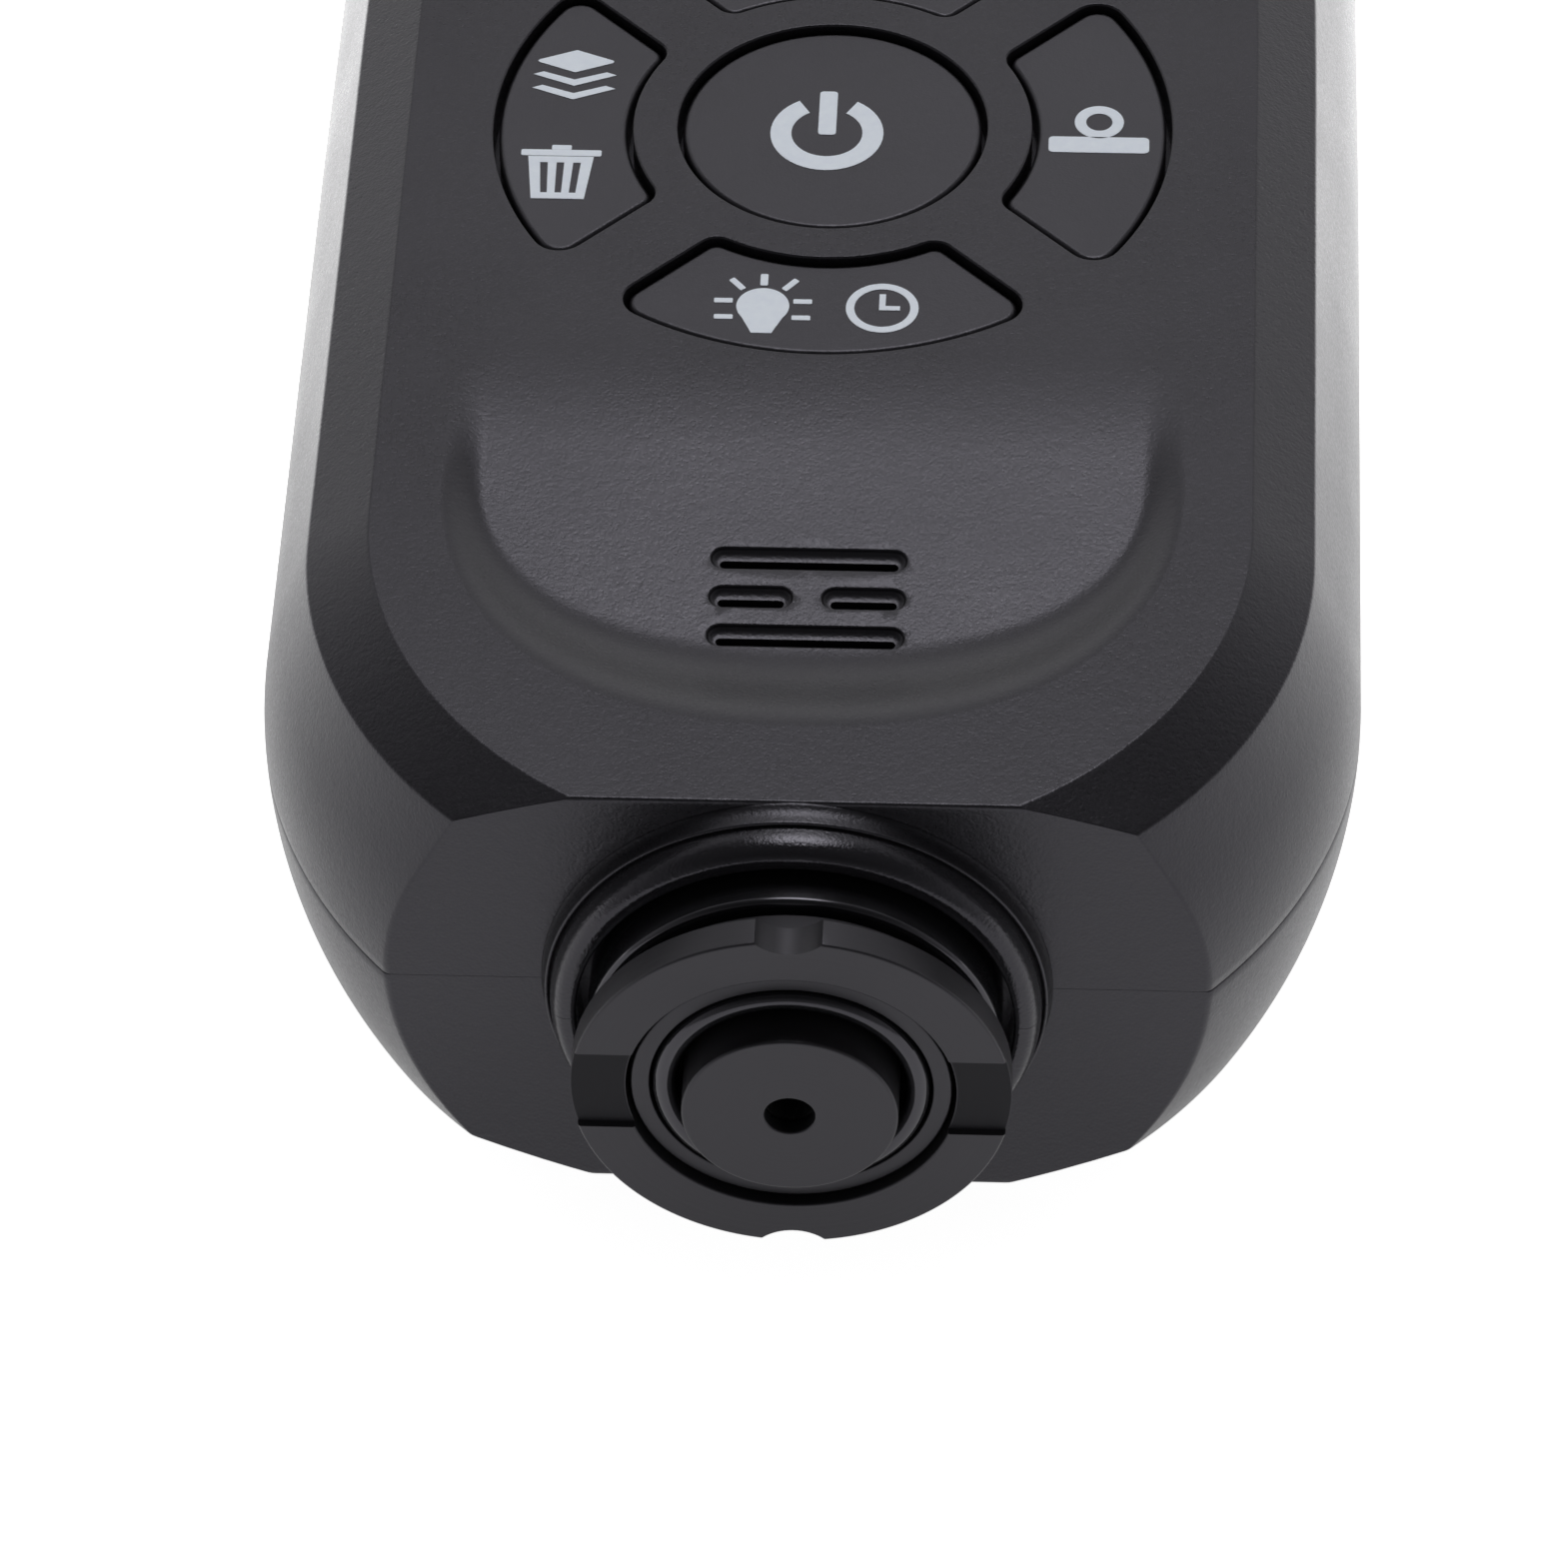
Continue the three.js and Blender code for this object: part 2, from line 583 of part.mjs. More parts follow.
function board() {
  const group = new THREE.Group();
  const low = [-BOARD_HALF_WIDTH, BOARD_START_Y, BOARD_BOTTOM_Z];
  const high = [BOARD_HALF_WIDTH, BOARD_END_Y, BOARD_TOP_Z];
  const underside = BOARD_BOTTOM_Z - RUNNING_GAP;
  group.add(part('main_board', block(low, high), FINISH.board));
  const chip = block(
    [-CHIP.width / 2, CHIP.middleY - CHIP.width / 2, underside - CHIP.height],
    [CHIP.width / 2, CHIP.middleY + CHIP.width / 2, underside]);
  group.add(part('processor_chip', chip, FINISH.chip));
  const connectorY = BOARD_START_Y + CONNECTOR.fromBoardEdge;
  const connector = block(
    [-CONNECTOR.width / 2, connectorY, underside - CONNECTOR.height],
    [CONNECTOR.width / 2, connectorY + CONNECTOR.length, underside]);
  group.add(part('probe_connector', connector, FINISH.backlight));
  return group;
}

function buzzer() {
  const floorZ = -REST_SLOPE * (REST_START_Y - SLOT_MIDDLE_Y) - REST_WALL;
  const top = floorZ - BUZZER.gap;
  const middleY = -SLEEVE_END + CAP_THICKNESS + BUZZER.gap + BUZZER.radius;
  const shape = post(0, middleY, BUZZER.radius, top - BUZZER.height, top, SMALL_ROUND * 2);
  return part('buzzer', shape, FINISH.chip);
}

// ---- case shells --------------------------------------------------------------------------------

// The raised ring around the probe: a soft foot, a shoulder and a rounded bead.
function boss() {
  const bead = BOSS_BEAD_RADIUS;
  const beadMiddle = BOSS_BORE_RADIUS + bead;
  const beadOut = BOSS_REACH - bead;
  const footRadius = SEAM_DEPTH - BOSS_FOOT_INSET;
  const shoulderRadius = footRadius - BOSS_SHOULDER.width;
  const profile = [[BOSS_BORE_RADIUS, -WALL / 2]];
  for (let i = 0; i <= 4; i += 1) {
    const angle = Math.PI * (1 - i / 4);
    profile.push([beadMiddle + bead * Math.cos(angle), beadOut + bead * Math.sin(angle)]);
  }
  profile.push([shoulderRadius, BOSS_SHOULDER.reach]);
  profile.push([shoulderRadius + BOSS_SHOULDER.width / 3, BOSS_SHOULDER.reach / 3]);
  profile.push([footRadius, 0]);
  profile.push([footRadius, -WALL / 2]);
  return turned(profile);
}

// The battery bay, widened by a wall on every side.
function batteryBay(grow, bottom, top = BAY_TOP_Z + grow) {
  return block(
    [-BAY_HALF_WIDTH - grow, BAY_START_Y - grow, bottom],
    [BAY_HALF_WIDTH + grow, BAY_START_Y + BAY_LENGTH + grow, top]);
}

function doorBlock(grow) {
  const rim = DOOR_LIP + grow;
  return block(
    [-BAY_HALF_WIDTH - rim, BAY_START_Y - rim, BACK_Z - (grow > 0 ? 1 : 0)],
    [BAY_HALF_WIDTH + rim, BAY_START_Y + BAY_LENGTH + rim, BACK_Z + DOOR_THICKNESS + grow]);
}

function caseShells() {
  const group = new THREE.Group();
  const hollow = solid(loft(caseRings(WALL)));
  const bore = solid(tube(0, SPIGOT_RADIUS + SEAT_GAP, -END_WALL - 1, 1));
  const counterbore = solid(tube(0, BOSS_BORE_RADIUS, BARREL_SHOULDER - SEAT_GAP, BOSS_REACH + 1));
  const outside = solid(loft(caseRings(0)));
  let housing = outside.add(solid(boss())).subtract(hollow);
  housing = housing.subtract(bore).subtract(counterbore);
  const far = 2 * CASE_LENGTH;
  const above = solid(block([-far, -far, SEAM_Z + SEAM_GAP / 2], [far, far, far]));
  const below = solid(block([-far, -far, -far], [far, far, SEAM_Z - SEAM_GAP / 2]));

  let front = housing.intersect(above);
  front = front.add(restSolid(REST_WALL, -WALL / 2));
  for (const [x, y] of SCREW_PLACES) {
    const pillar = solid(post(x, y, PILLAR_RADIUS, SEAM_Z + SEAM_GAP / 2, -WALL / 2));
    front = front.add(pillar.intersect(outside));
  }
  front = front.subtract(restSolid(0, 1));
  for (const cut of [...soundSlots(), ...keyHoles()]) {
    front = front.subtract(cut);
  }
  front = front.subtract(solid(windowBlock(0, -WINDOW.thickness - SEAT_GAP, 1)));
  front = front.subtract(solid(windowBlock(WINDOW_LEDGE, -2 * WALL, 1)));

  let rear = housing.intersect(below);
  rear = rear.add(solid(batteryBay(BAY_WALL, BACK_Z + WALL / 2)));
  const ledgeTop = BACK_Z + DOOR_THICKNESS + SEAT_GAP + BAY_WALL;
  rear = rear.add(solid(batteryBay(DOOR_LIP + SEAT_GAP + BAY_WALL, BACK_Z + WALL / 2, ledgeTop)));
  for (const [x, y] of SCREW_PLACES) {
    const pillar = solid(post(x, y, PILLAR_RADIUS, BACK_Z + WALL / 2, SEAM_Z - SEAM_GAP / 2));
    rear = rear.add(pillar.intersect(outside));
  }
  rear = rear.subtract(solid(batteryBay(0, BACK_Z - 1)));
  rear = rear.subtract(solid(doorBlock(SEAT_GAP)));
  for (const [x, y] of SCREW_PLACES) {
    const shank = SCREW_RADIUS + SEAT_GAP;
    const tip = SCREW_HEAD_Z + SCREW_HEAD_HEIGHT + SCREW_LENGTH + SEAT_GAP;
    front = front.subtract(solid(post(x, y, shank, SEAM_Z - 1, tip)));
    rear = rear.subtract(solid(post(x, y, shank, BACK_Z, SEAM_Z + 1)));
    const headTop = SCREW_HEAD_Z + SCREW_HEAD_HEIGHT + SEAT_GAP;
    rear = rear.subtract(solid(post(x, y, SCREW_HEAD_RADIUS + SEAT_GAP, BACK_Z - 1, headTop)));
  }
  group.add(part('front_shell', front, FINISH.caseBlack));
  group.add(part('rear_shell', rear, FINISH.caseBlack));
  return group;
}

function caseScrews() {
  const group = new THREE.Group();
  SCREW_PLACES.forEach(([x, y], index) => {
    const headTop = SCREW_HEAD_Z + SCREW_HEAD_HEIGHT;
    const head = solid(post(x, y, SCREW_HEAD_RADIUS, SCREW_HEAD_Z, headTop));
    const shank = solid(post(x, y, SCREW_RADIUS, headTop - 0.2, headTop + SCREW_LENGTH, 12));
    const crossSlot = (halfX, halfY) => solid(block(
      [x - halfX, y - halfY, SCREW_HEAD_Z - 1],
      [x + halfX, y + halfY, SCREW_HEAD_Z + SCREW_CROSS.depth]));
    const screw = head.add(shank)
      .subtract(crossSlot(SCREW_CROSS.reach, SCREW_CROSS.halfWidth))
      .subtract(crossSlot(SCREW_CROSS.halfWidth, SCREW_CROSS.reach));
    group.add(part(`case_screw_${index + 1}`, screw, FINISH.steel));
  });
  return group;
}

// ---- batteries ----------------------------------------------------------------------------------

// A coil of round wire along +Y. Its radius runs from the first to the last value.
function wireCoil({ x, z, startY, length, turns, radii, wire, stepsPerTurn, sides }) {
  class Helix extends THREE.Curve {
    getPoint(t) {
      const angle = 2 * Math.PI * turns * t;
      const radius = radii[0] + (radii[1] - radii[0]) * t;
      return new THREE.Vector3(
        x + radius * Math.cos(angle), startY + length * t, z + radius * Math.sin(angle));
    }
  }
  const section = new THREE.Shape();
  section.absarc(0, 0, wire / 2, 0, 2 * Math.PI);
  return new THREE.ExtrudeGeometry(section, {
    steps: Math.round(turns * stepsPerTurn),
    curveSegments: sides,
    extrudePath: new Helix(),
  });
}

function batteries() {
  const group = new THREE.Group();
  const springEnd = BAY_START_Y + CONTACT_SPACE;
  const bayEnd = BAY_START_Y + BAY_LENGTH;
  const contactBottom = BATTERY_Z - CONTACT_HEIGHT / 2;
  const contactTop = BATTERY_Z + CONTACT_HEIGHT / 2;
  [-1, 1].forEach((side, index) => {
    const x = side * BATTERY_X;
    const cell = new THREE.LatheGeometry([
      new THREE.Vector2(0, 0),
      new THREE.Vector2(BATTERY_RADIUS, 0),
      new THREE.Vector2(BATTERY_RADIUS, BATTERY_LENGTH),
      new THREE.Vector2(BATTERY_NUB.radius, BATTERY_LENGTH),
      new THREE.Vector2(BATTERY_NUB.radius, BATTERY_LENGTH + BATTERY_NUB.length),
      new THREE.Vector2(0, BATTERY_LENGTH + BATTERY_NUB.length),
    ], SMALL_ROUND * 2);
    cell.translate(x, springEnd + SEAT_GAP, BATTERY_Z);
    group.add(part(`battery_${index + 1}`, cell, FINISH.batterySkin));
    const coil = wireCoil({
      x,
      z: BATTERY_Z,
      startY: BAY_START_Y + CONTACT_COIL.fromWall,
      length: CONTACT_SPACE - CONTACT_COIL.fromWall - CONTACT_COIL.wire / 2,
      turns: CONTACT_COIL.turns,
      radii: [CONTACT_COIL.wideRadius, CONTACT_COIL.narrowRadius],
      wire: CONTACT_COIL.wire,
      stepsPerTurn: 10,
      sides: 2,
    });
    group.add(part(`contact_spring_${index + 1}`, coil, FINISH.steel));
    const tabY = bayEnd - SEAT_GAP;
    const tab = block(
      [x - CONTACT_TAB_WIDTH / 2, tabY - CONTACT_THICKNESS, contactBottom],
      [x + CONTACT_TAB_WIDTH / 2, tabY, contactTop]);
    group.add(part(`contact_tab_${index + 1}`, tab, FINISH.steel));
  });
  const bridgeY = BAY_START_Y + SEAT_GAP;
  const bridgeHalf = BAY_HALF_WIDTH - 1;
  const bridge = block(
    [-bridgeHalf, bridgeY, contactBottom],
    [bridgeHalf, bridgeY + CONTACT_THICKNESS, contactTop]);
  group.add(part('contact_bridge', bridge, FINISH.steel));
  return group;
}

// The door: a plate in the back, with grip grooves at its free end.
function batteryDoor() {
  let door = solid(doorBlock(0));
  const gripStart = BAY_START_Y + BAY_LENGTH - DOOR_GRIP.fromEnd;
  for (let i = 0; i < DOOR_GRIP.grooves; i += 1) {
    const y = gripStart + DOOR_GRIP.pitch * i;
    door = door.subtract(solid(block(
      [-DOOR_GRIP.length / 2, y, BACK_Z - 1],
      [DOOR_GRIP.length / 2, y + DOOR_GRIP.width, BACK_Z + DOOR_GRIP.depth])));
  }
  return part('battery_door', door, FINISH.caseBlack);
}

// ---- probe --------------------------------------------------------------------------------------

function collar() {
  let ring = solid(turned([
    [COLLAR_BORE_RADIUS, COLLAR_FRONT],
    [COLLAR_RADIUS, COLLAR_FRONT],
    [COLLAR_RADIUS, COLLAR_BACK],
    [NECK_RADIUS, COLLAR_BACK],
    [NECK_RADIUS, BARREL_FRONT + SEAT_GAP],
    [COLLAR_BORE_RADIUS, BARREL_FRONT + SEAT_GAP],
  ], 40));
  const length = COLLAR_FRONT - COLLAR_BACK + 2;
  const middle = -(COLLAR_FRONT + COLLAR_BACK) / 2;
  for (const side of [-1, 1]) {
    const grooveZ = SEAM_Z + side * (COLLAR_RADIUS - GROOVE_DEPTH + GROOVE_RADIUS);
    const groove = new THREE.CylinderGeometry(GROOVE_RADIUS, GROOVE_RADIUS, length, 20);
    ring = ring.subtract(solid(groove.translate(0, middle, grooveZ)));
    const inner = COLLAR_BORE_RADIUS - 1;
    const outer = COLLAR_RADIUS + 1;
    const notch = block(
      [side > 0 ? inner : -outer, -COLLAR_FRONT - 1, SEAM_Z - NOTCH_WIDTH / 2],
      [side > 0 ? outer : -inner, -COLLAR_FRONT + NOTCH_DEPTH, SEAM_Z + NOTCH_WIDTH / 2]);
    ring = ring.subtract(solid(notch));
  }
  return part('probe_collar', ring, FINISH.turnedBlack);
}

function noseRing() {
  const front = COLLAR_FRONT - NOSE_RECESS;
  const bead = NOSE_WALL / 2;
  const middle = NOSE_BORE_RADIUS + bead;
  const profile = [[NOSE_RADIUS, NOSE_BACK]];
  profile.push([NOSE_BORE_RADIUS, NOSE_BACK]);
  for (let i = 0; i <= 4; i += 1) {
    const angle = Math.PI * (1 - i / 4);
    profile.push([middle + bead * Math.cos(angle), front - bead + bead * Math.sin(angle)]);
  }
  return part('nose_ring', turned(profile), FINISH.glossBlack);
}

function plunger() {
  const group = new THREE.Group();
  const flangeFront = NOSE_BACK - SEAT_GAP;
  const flangeBack = flangeFront - PLUNGER_FLANGE_THICKNESS;
  const bore = PLUNGER_RADIUS - PLUNGER_WALL;
  const floor = PLUNGER_FRONT - PLUNGER_WALL;
  group.add(part('probe_plunger', turned([
    [PLUNGER_HOLE_RADIUS, floor],
    [PLUNGER_HOLE_RADIUS, PLUNGER_FRONT - PLUNGER_CHAMFER],
    [PLUNGER_HOLE_RADIUS + PLUNGER_CHAMFER, PLUNGER_FRONT],
    [PLUNGER_RADIUS - PLUNGER_CHAMFER, PLUNGER_FRONT],
    [PLUNGER_RADIUS, PLUNGER_FRONT - PLUNGER_CHAMFER],
    [PLUNGER_RADIUS, flangeFront],
    [PLUNGER_FLANGE_RADIUS, flangeFront],
    [PLUNGER_FLANGE_RADIUS, flangeBack],
    [bore, flangeBack],
    [bore, floor],
  ]), FINISH.turnedBlack));
  const spoolRadius = bore - SEAT_GAP;
  const spoolBore = PLUNGER_HOLE_RADIUS + 0.05;
  const spoolFront = floor - SEAT_GAP;
  const spoolBack = flangeBack + 0.2;
  group.add(part('coil_bobbin', turned([
    [spoolBore, spoolFront],
    [spoolRadius, spoolFront],
    [spoolRadius, spoolFront - SPOOL_CHEEK],
    [SPOOL_CORE_RADIUS, spoolFront - SPOOL_CHEEK],
    [SPOOL_CORE_RADIUS, spoolBack + SPOOL_CHEEK],
    [spoolRadius, spoolBack + SPOOL_CHEEK],
    [spoolRadius, spoolBack],
    [spoolBore, spoolBack],
  ], SMALL_ROUND * 2), FINISH.chip));
  group.add(part('coil_winding', tube(
    SPOOL_CORE_RADIUS + RUNNING_GAP, spoolRadius - SEAT_GAP, spoolBack + SPOOL_CHEEK + RUNNING_GAP,
    spoolFront - SPOOL_CHEEK - RUNNING_GAP, SMALL_ROUND * 2), FINISH.copper));
  const coreRadius = spoolBore - 0.2;
  group.add(part('core_pin', turned([
    [0, PLUNGER_FRONT - CORE_RECESS],
    [coreRadius * 0.7, PLUNGER_FRONT - CORE_RECESS - 0.15],
    [coreRadius, PLUNGER_FRONT - CORE_RECESS - 0.6],
    [coreRadius, spoolBack],
    [0, spoolBack],
  ], SMALL_ROUND), FINISH.ferrite));
  return group;
}

function probeHousing() {
  const group = new THREE.Group();
  const nutBack = -END_WALL - SEAT_GAP;
  group.add(part('probe_barrel', turned([
    [BARREL_BORE_RADIUS, BARREL_FRONT],
    [BARREL_RADIUS - BARREL_CHAMFER, BARREL_FRONT],
    [BARREL_RADIUS, BARREL_FRONT - BARREL_CHAMFER],
    [BARREL_RADIUS, BARREL_SHOULDER],
    [SPIGOT_RADIUS, BARREL_SHOULDER],
    [SPIGOT_RADIUS, SPIGOT_END],
    [BARREL_BORE_RADIUS, SPIGOT_END],
  ]), FINISH.glossBlack));
  group.add(part('probe_nut', tube(
    SPIGOT_RADIUS + RUNNING_GAP, BARREL_RADIUS, nutBack - NUT_THICKNESS, nutBack), FINISH.steel));
  group.add(part('probe_sleeve', tube(
    SLEEVE_BORE_RADIUS, SLEEVE_RADIUS, SLEEVE_END, COLLAR_FRONT - SLEEVE_RECESS), FINISH.turnedBlack));
  const capFront = SLEEVE_END - RUNNING_GAP;
  group.add(part('sleeve_cap', tube(
    CAP_HOLE_RADIUS, SLEEVE_RADIUS, capFront - CAP_THICKNESS, capFront), FINISH.turnedBlack));
  const springRadius = (PLUNGER_FLANGE_RADIUS + PLUNGER_RADIUS - PLUNGER_WALL) / 2;
  const springFront = NOSE_BACK - SEAT_GAP - PLUNGER_FLANGE_THICKNESS - SPRING_WIRE;
  const springBack = SLEEVE_END + SPRING_WIRE / 2;
  group.add(part('probe_spring', wireCoil({
    x: 0,
    z: SEAM_Z,
    startY: -springFront,
    length: springFront - springBack,
    turns: SPRING_TURNS,
    radii: [springRadius, springRadius],
    wire: SPRING_WIRE,
    stepsPerTurn: 12,
    sides: 2,
  }), FINISH.steel));
  return group;
}

// The flat lead from the back of the probe to its connector, held inside the case all the way.
function probeLead() {
  const start = -SLEEVE_END + RUNNING_GAP - 1;
  const plugY = BOARD_START_Y + CONNECTOR.fromBoardEdge - SEAT_GAP;
  const plugZ = BOARD_BOTTOM_Z - RUNNING_GAP - CONNECTOR.height / 2;
  const path = new THREE.CatmullRomCurve3([
    new THREE.Vector3(0, start, SEAM_Z),
    new THREE.Vector3(0, start + 5, SEAM_Z),
    new THREE.Vector3(0, (start + plugY) / 2 + 2, (SEAM_Z + plugZ) / 2 - 1),
    new THREE.Vector3(0, plugY - 3, plugZ),
    new THREE.Vector3(0, plugY, plugZ),
  ]);
  const section = new THREE.Shape();
  section.absarc(0, 0, LEAD_RADIUS, 0, 2 * Math.PI);
  const geometry = new THREE.ExtrudeGeometry(section, { steps: 14, curveSegments: 4, extrudePath: path });
  return part('probe_lead', geometry, FINISH.silicone);
}

// ---- assembly -----------------------------------------------------------------------------------

const gauge = new THREE.Group();
gauge.add(caseShells());
gauge.add(caseScrews());
gauge.add(keys());
gauge.add(keypadMat());
gauge.add(display());
gauge.add(board());
gauge.add(buzzer());
gauge.add(collar());
gauge.add(noseRing());
gauge.add(plunger());
gauge.add(probeHousing());
gauge.add(probeLead());
gauge.add(batteries());
gauge.add(batteryDoor());
gauge.position.set(0, -(CASE_LENGTH - PLUNGER_FRONT) / 2, CASE_DEPTH);

export default gauge;
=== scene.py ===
import json
import math

import bmesh
import bpy
from mathutils import Matrix, Vector


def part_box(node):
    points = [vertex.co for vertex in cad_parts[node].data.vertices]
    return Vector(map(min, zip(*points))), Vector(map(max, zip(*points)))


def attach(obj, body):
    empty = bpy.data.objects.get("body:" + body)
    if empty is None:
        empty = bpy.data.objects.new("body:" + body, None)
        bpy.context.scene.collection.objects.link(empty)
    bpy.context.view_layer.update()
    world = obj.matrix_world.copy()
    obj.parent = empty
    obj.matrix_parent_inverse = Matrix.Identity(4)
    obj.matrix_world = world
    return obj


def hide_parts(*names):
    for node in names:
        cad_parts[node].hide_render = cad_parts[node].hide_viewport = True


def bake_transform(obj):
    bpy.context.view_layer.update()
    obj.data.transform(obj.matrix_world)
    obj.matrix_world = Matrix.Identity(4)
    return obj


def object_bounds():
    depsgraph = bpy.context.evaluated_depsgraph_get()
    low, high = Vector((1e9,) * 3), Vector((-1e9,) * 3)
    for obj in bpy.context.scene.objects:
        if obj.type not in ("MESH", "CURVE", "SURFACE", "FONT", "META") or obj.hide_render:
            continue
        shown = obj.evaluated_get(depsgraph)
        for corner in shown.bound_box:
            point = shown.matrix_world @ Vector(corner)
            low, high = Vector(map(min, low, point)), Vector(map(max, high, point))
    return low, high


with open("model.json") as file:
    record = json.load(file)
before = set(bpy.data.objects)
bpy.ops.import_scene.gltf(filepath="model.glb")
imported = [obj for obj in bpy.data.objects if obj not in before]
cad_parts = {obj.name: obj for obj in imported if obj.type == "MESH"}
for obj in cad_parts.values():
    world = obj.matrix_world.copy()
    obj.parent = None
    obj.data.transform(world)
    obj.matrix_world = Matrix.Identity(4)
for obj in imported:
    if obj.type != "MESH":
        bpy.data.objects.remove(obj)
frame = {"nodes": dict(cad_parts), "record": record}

cad_low, cad_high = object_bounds()

# ---- places and sizes ---------------------------------------------------------------------------
# Lengths are in millimetres until place() turns them into metres. Case coordinates have y = 0 at the
# flat probe end and z = 0 at the keypad face; "out" is measured outwards from the flat probe end.

MM = 0.001


def size_of(node, axis):
    low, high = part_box(node)
    return (high[axis] - low[axis]) / MM


PLUNGER_FRONT = 9.22
FLAT_END_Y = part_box("probe_plunger")[0][1] + PLUNGER_FRONT * MM
FACE_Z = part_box("front_shell")[1][2]
CASE_DEPTH = (FACE_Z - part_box("rear_shell")[0][2]) / MM
CASE_LENGTH = (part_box("front_shell")[1][1] - FLAT_END_Y) / MM
SIDE_FLARE = 0.3
HALF_WIDTH = size_of("front_shell", 0) / 2 - SIDE_FLARE
FLARE_END_Y = 60
SEAM_DEPTH = 13.2
SEAM_LINE = 0.012
FACE_HALF_WIDTH = 22.98
FACE_CHAMFER_DEPTH = 1.81
CHAMFER_HALF_WIDTH = 26.3
BACK_HALF_WIDTH = 22.8
BACK_CHAMFER_DEPTH = 2.9
CROWN_RADIUS = 20
CROWN_SLOPE = 0.36
END_ARC_Y = 20.45
END_ARC_OFFSET = 1.3
FACE_ARC_SHIFT = 0.45
CORNER_RADIUS = 15
WALL = 2
END_WALL = 2.5
END_EDGE_ROUND = 0.2

REST_START_Y = 30
REST_CENTRE_Y = 24.8
REST_RIM = (19.6, 19.5)
REST_FLOOR = (17.2, 11.6)
REST_SLOPE = 0.115
REST_EASE = 7
REST_SQUARENESS = 2.3
REST_WALL = 1.8
SLOT_LENGTH = 10.2
SLOT_SHORT = 4.35
SLOT_WIDTH = 1.4
SLOT_BOWL = 0.42
SLOT_THROAT_HALF = 0.25
SLOT_THROAT_SHIFT = 0.1
SLOT_LIP = 0.1
SLOT_PITCH = 2.57
SLOT_MIDDLE_Y = 16.4

WHEEL_Y = 52.05
POWER_HOLE = 8.49
RING_INNER = 10.95
RING_OUTER = 18.59
RING_WEB = 4.4
RING_ROOT_CORNER = 1.1
RING_TIP_CORNER = 1.5
KEY_GAP = 0.3
KEY_SINK = 0.3
KEY_EDGE = 0.3
KEY_FLANGE = 0.9
HOLE_LIP = 0.14
FLANGE_TOP = -2.3
FLANGE_BOTTOM = -3.1

BOSS_REACH = 2.85
BOSS_BORE = 11.2
END_BORE = 9.7
BARREL_BORE, BARREL_RADIUS, SPIGOT_RADIUS = 8.3, 10.6, 9.4
BARREL_FRONT, BARREL_SHOULDER, SPIGOT_END = 4.4, 0.6, -5.6
COLLAR_BORE, COLLAR_RADIUS, NECK_RADIUS = 8.4, 11.2, 10.0
COLLAR_FRONT, COLLAR_BACK, NECK_BACK = 7.77, 5.95, 4.7
GROOVE_RADIUS, GROOVE_DEPTH = 2.35, 0.85
NOTCH_DEPTH = 0.34
NOTCH_HALF = 2.7
SLEEVE_BORE, SLEEVE_RADIUS, SLEEVE_RECESS, SLEEVE_END = 7.2, 8.15, 0.5, -10
NOSE_BORE, NOSE_RADIUS, NOSE_RECESS, NOSE_BACK = 5.9, 7.05, 0.15, 2
PLUNGER_RADIUS, PLUNGER_BORE, PLUNGER_HOLE, PLUNGER_FLOOR = 5.5, 4.7, 1.28, 8.42
PLUNGER_FLANGE_RADIUS, PLUNGER_FLANGE_FRONT, PLUNGER_FLANGE_BACK = 6.7, 1.7, 0.7
SPRING_WIRE, SPRING_TURNS = 0.5, 5

PILLAR_RADIUS = 3.2
SCREW_HOLE_RADIUS = 1.4
SCREW_RADIUS, SCREW_ROOT_RADIUS, SCREW_HEAD_RADIUS = 1.1, 0.86, 2.1
SCREW_HEAD, SCREW_LENGTH, SCREW_TURNS = 1.5, 11.0, 11

FAR = 300
TOOL_TOP = 1.5
SEAM_Z = -SEAM_DEPTH
BACK_Z = -CASE_DEPTH
TOP_HALF_WIDTH = HALF_WIDTH + SIDE_FLARE


def place(x, y, z):
    """Case coordinates in millimetres to the frame in metres."""
    return Vector((x * MM, FLAT_END_Y + y * MM, FACE_Z + z * MM))


def case_of(node):
    """Lowest and highest corner of a CAD node in case coordinates, in millimetres."""
    low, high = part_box(node)
    shift = (0, FLAT_END_Y, FACE_Z)
    return tuple(tuple((corner[i] - shift[i]) / MM for i in range(3)) for corner in (low, high))


# ---- materials ----------------------------------------------------------------------------------

def new_material(name, color, roughness, metallic=0.0, specular=0.5):
    """A material, its node tree, its shader's sockets, and where a point lies on the object."""
    material = bpy.data.materials.new(name)
    material.use_nodes = True
    tree = material.node_tree
    sockets = tree.nodes["Principled BSDF"].inputs
    sockets["Base Color"].default_value = (*color, 1)
    sockets["Roughness"].default_value = roughness
    sockets["Metallic"].default_value = metallic
    sockets["Specular IOR Level"].default_value = specular
    where = tree.nodes.new("ShaderNodeTexCoord").outputs["Object"]
    return material, tree, sockets, where


def noise(tree, coordinates, scale, detail=2.0, roughness=0.5):
    node = tree.nodes.new("ShaderNodeTexNoise")
    node.inputs["Scale"].default_value = scale
    node.inputs["Detail"].default_value = detail
    node.inputs["Roughness"].default_value = roughness
    tree.links.new(coordinates, node.inputs["Vector"])
    return node.outputs["Fac"]


def spread(tree, value, low, high, start=0.3, end=0.7, smooth=False):
    """low to high, as the value goes from start to end."""
    node = tree.nodes.new("ShaderNodeMapRange")
    if smooth:
        node.interpolation_type = "SMOOTHSTEP"
    node.inputs["From Min"].default_value = start
    node.inputs["From Max"].default_value = end
    node.inputs["To Min"].default_value = low
    node.inputs["To Max"].default_value = high
    tree.links.new(value, node.inputs["Value"])
    return node.outputs["Result"]


def ramp(tree, value, start, end, low, high):
    return spread(tree, value, low, high, start, end, smooth=True)


